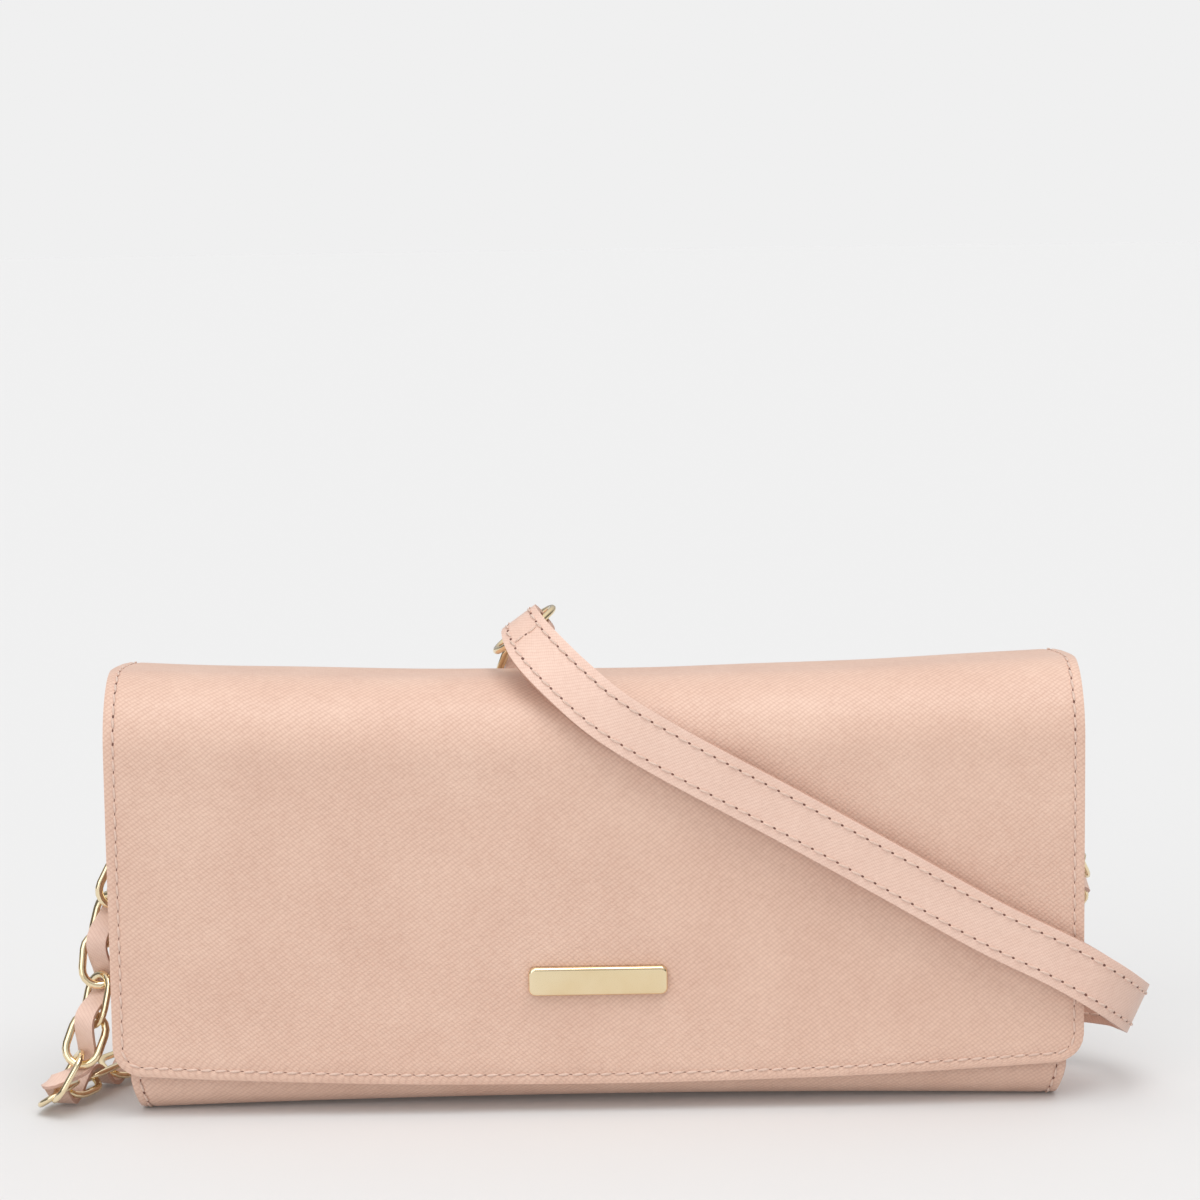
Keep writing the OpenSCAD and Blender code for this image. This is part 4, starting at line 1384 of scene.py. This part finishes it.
@dataclass
class Hardware:
    """Rings, the bar ornament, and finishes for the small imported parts."""

    finishes: Finishes

    def ring(self, name: str, at: Vector, matrix: Matrix, node: str, body: Body) -> None:
        """Makes one strap ring."""
        bm = bmesh.new()
        wire(bm, Matrix.Translation(at) @ matrix, PLAN.ring_r, 0, PLAN.ring_wire_r, PLAN.ring_wire_r,
             steps=36, sides=16)
        piece = finish_mesh(name, bm, [self.finishes.gold])
        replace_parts(piece, node)
        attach(piece, body.value)

    def ornament(self) -> None:
        """Makes the plain polished bar on the flap, its front edges well rounded."""
        a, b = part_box("plaque")
        front = PLAN.flap_y
        bm = bmesh.new()
        bmesh.ops.create_cube(bm, size=1)
        bmesh.ops.scale(bm, verts=bm.verts, vec=(b.x - a.x, front - a.y, b.z - a.z))
        bmesh.ops.translate(bm, verts=bm.verts, vec=(0, (front + a.y) / 2, (a.z + b.z) / 2))
        upright = [e for e in bm.edges if abs(e.verts[0].co.y - e.verts[1].co.y) > 1 * MM]
        bmesh.ops.bevel(bm, geom=upright, offset=1.6 * MM, segments=6, profile=0.5,
                        affect="EDGES", material=-1)
        face_edges = [e for e in bm.edges if all(v.co.y < a.y + 0.01 * MM for v in e.verts)]
        bmesh.ops.bevel(bm, geom=face_edges, offset=0.8 * MM, segments=5, profile=0.5,
                        affect="EDGES", material=-1)
        piece = finish_mesh("bar_ornament", bm, [self.finishes.gold])
        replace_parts(piece, "plaque")
        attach(piece, Body.FLAP.value)

    def dress(self) -> None:
        """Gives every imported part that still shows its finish."""
        f = self.finishes
        hooks = [part + side for part in ("d_ring", "clasp", "clasp_gate", "swivel")
                 for side in ("_left", "_right")]
        dressed = (
            (f.lining, ("card_pocket_top", "card_pocket_middle", "card_pocket_bottom", "zip_pocket")),
            (f.tape, ("zip_tapes",)),
            (f.edge, ("tab_left", "tab_right")),
            (f.steel, ("snap_socket_washer", "snap_stud_washer", "plaque_washers")),
            (f.gold, ("zip_teeth", "zip_end_stops", "zip_slider", "zip_puller", "snap_socket",
                      "snap_stud", *hooks)),
        )
        for finish, nodes in dressed:
            for node in nodes:
                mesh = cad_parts[node].data
                mesh.materials.clear()
                mesh.materials.append(finish)

    def build(self) -> None:
        """Makes the rings and the ornament and dresses the rest."""
        self.ring("upper_strap_ring", UPPER_RING_AT, Matrix.Rotation(-UPPER_RING_LEAN, 4, "Y"),
                  "strap_ring_upper", Body.FLAP)
        self.ring("lower_strap_ring", LOWER_RING_AT, Matrix.Rotation(math.radians(90), 4, "X"),
                  "strap_ring_lower", Body.WALLET)
        self.ornament()
        self.dress()


# ---- Studio ----


@dataclass
class Studio:
    """Camera, lights and the pale floor that the wallet stands on."""

    aim: Vector = field(default_factory=lambda: mm(1.8, -17, 124.7))
    distance: float = 797 * MM
    pitch: float = math.radians(7)
    yaw: float = math.radians(-0.5)
    roll: float = math.radians(-0.8)
    lens: float = 100.0
    seen: float = 0.871
    surround: tuple[float, float] = (0.25, 0.95)
    paper: float = 0.72
    paper_glow: float = 0.033
    floor_r: float = 12.0

    def camera(self) -> None:
        """Sets the camera up."""
        data = bpy.data.cameras.new("camera")
        data.lens = self.lens
        data.sensor_width = 36
        data.clip_start = 0.01
        data.clip_end = 20
        camera = bpy.data.objects.new("camera", data)
        bpy.context.scene.collection.objects.link(camera)
        back = Vector((math.sin(self.yaw) * math.cos(self.pitch), -math.cos(self.yaw) * math.cos(self.pitch),
                       math.sin(self.pitch)))
        camera.location = self.aim + back * self.distance
        turn = back.to_track_quat("Z", "Y").to_matrix().to_4x4() @ Matrix.Rotation(self.roll, 4, "Z")
        camera.rotation_euler = turn.to_euler()
        bpy.context.scene.camera = camera

    def sun(self, name: str, towards: Vector, spread_angle: float, strength: float) -> None:
        """Adds a wide, even light from a direction."""
        data = bpy.data.lights.new(name, "SUN")
        data.angle = spread_angle
        data.energy = strength
        lamp = bpy.data.objects.new(name, data)
        bpy.context.scene.collection.objects.link(lamp)
        lamp.rotation_euler = towards.to_track_quat("Z", "Y").to_euler()

    def floor(self) -> None:
        """Adds a wide pale floor, as bright as the surround seen behind it."""
        bm = bmesh.new()
        bmesh.ops.create_circle(bm, segments=96, radius=self.floor_r, cap_ends=True)
        bmesh.ops.translate(bm, verts=bm.verts, vec=(0, 0, -0.1 * MM))
        material, _, shader = new_material("pale_paper")
        shader.inputs["Base Color"].default_value = (self.paper, self.paper, self.paper, 1)
        shader.inputs["Roughness"].default_value = 0.9
        shader.inputs["Specular IOR Level"].default_value = 0.0
        shader.inputs["Emission Color"].default_value = (1, 1, 1, 1)
        shader.inputs["Emission Strength"].default_value = self.paper_glow
        finish_mesh("studio_floor", bm, [material])

    def world(self) -> None:
        """Sets a pale surround, even where it is seen.

        Where it lights the wallet it is brighter overhead and darker at both sides.
        """
        world = bpy.data.worlds.new("studio")
        world.use_nodes = True
        g = Graph(world.node_tree)
        background = world.node_tree.nodes["Background"]
        direction = g.node("SeparateXYZ", {0: g.node("TexCoord").outputs["Generated"]})
        sides = g.span(g.math("ABSOLUTE", direction.outputs[0]), 0.6, 0.9, 1.0, 0.3)
        glow = g.math("MULTIPLY", g.span(direction.outputs[2], -0.2, 0.9, *self.surround), sides)
        strength = g.node("Mix", {"Factor": g.node("LightPath").outputs["Is Camera Ray"],
                                  2: glow, 3: self.seen})
        background.inputs[0].default_value = (1, 1, 1, 1)
        g.tree.links.new(strength.outputs[0], background.inputs[1])
        bpy.context.scene.world = world

    def build(self) -> None:
        """Sets the studio up."""
        bpy.context.scene.view_settings.view_transform = "Standard"
        self.floor()
        self.world()
        self.sun("overhead", mm(150, -380, 1000), math.radians(40), 1.2)
        self.sun("front_left", mm(-600, -1000, 500), math.radians(50), 0.7)


def main() -> None:
    """Builds the studio and every part of the wallet."""
    logging.basicConfig(level=logging.INFO, format="%(message)s")
    studio = Studio()
    studio.camera()
    finishes = Finishes()
    LeatherStrap(finishes).build()
    ring_spoke = Vector((0, 1, 0)) * PLAN.ring_r
    left = WovenChain(finishes, "left", Route(LEFT_ROUTE, LEFT_FACES, 6), UPPER_RING_AT + ring_spoke,
                      Vector((math.cos(UPPER_RING_LEAN), 0, math.sin(UPPER_RING_LEAN))))
    right = WovenChain(finishes, "right", Route(RIGHT_ROUTE, RIGHT_FACES, 6),
                       LOWER_RING_AT - Vector((PLAN.ring_r, 0, 0)), Vector((0, 0, 1)))
    links = left.make_links()
    for piece in (links, left.make_ribbon()):
        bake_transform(piece)
    links = right.make_links()
    for piece in (links, right.make_ribbon()):
        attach(piece, Body.WALLET.value)
    Shell(finishes).build()
    Hardware(finishes).build()
    studio.build()


if __name__ == "__main__":
    main()
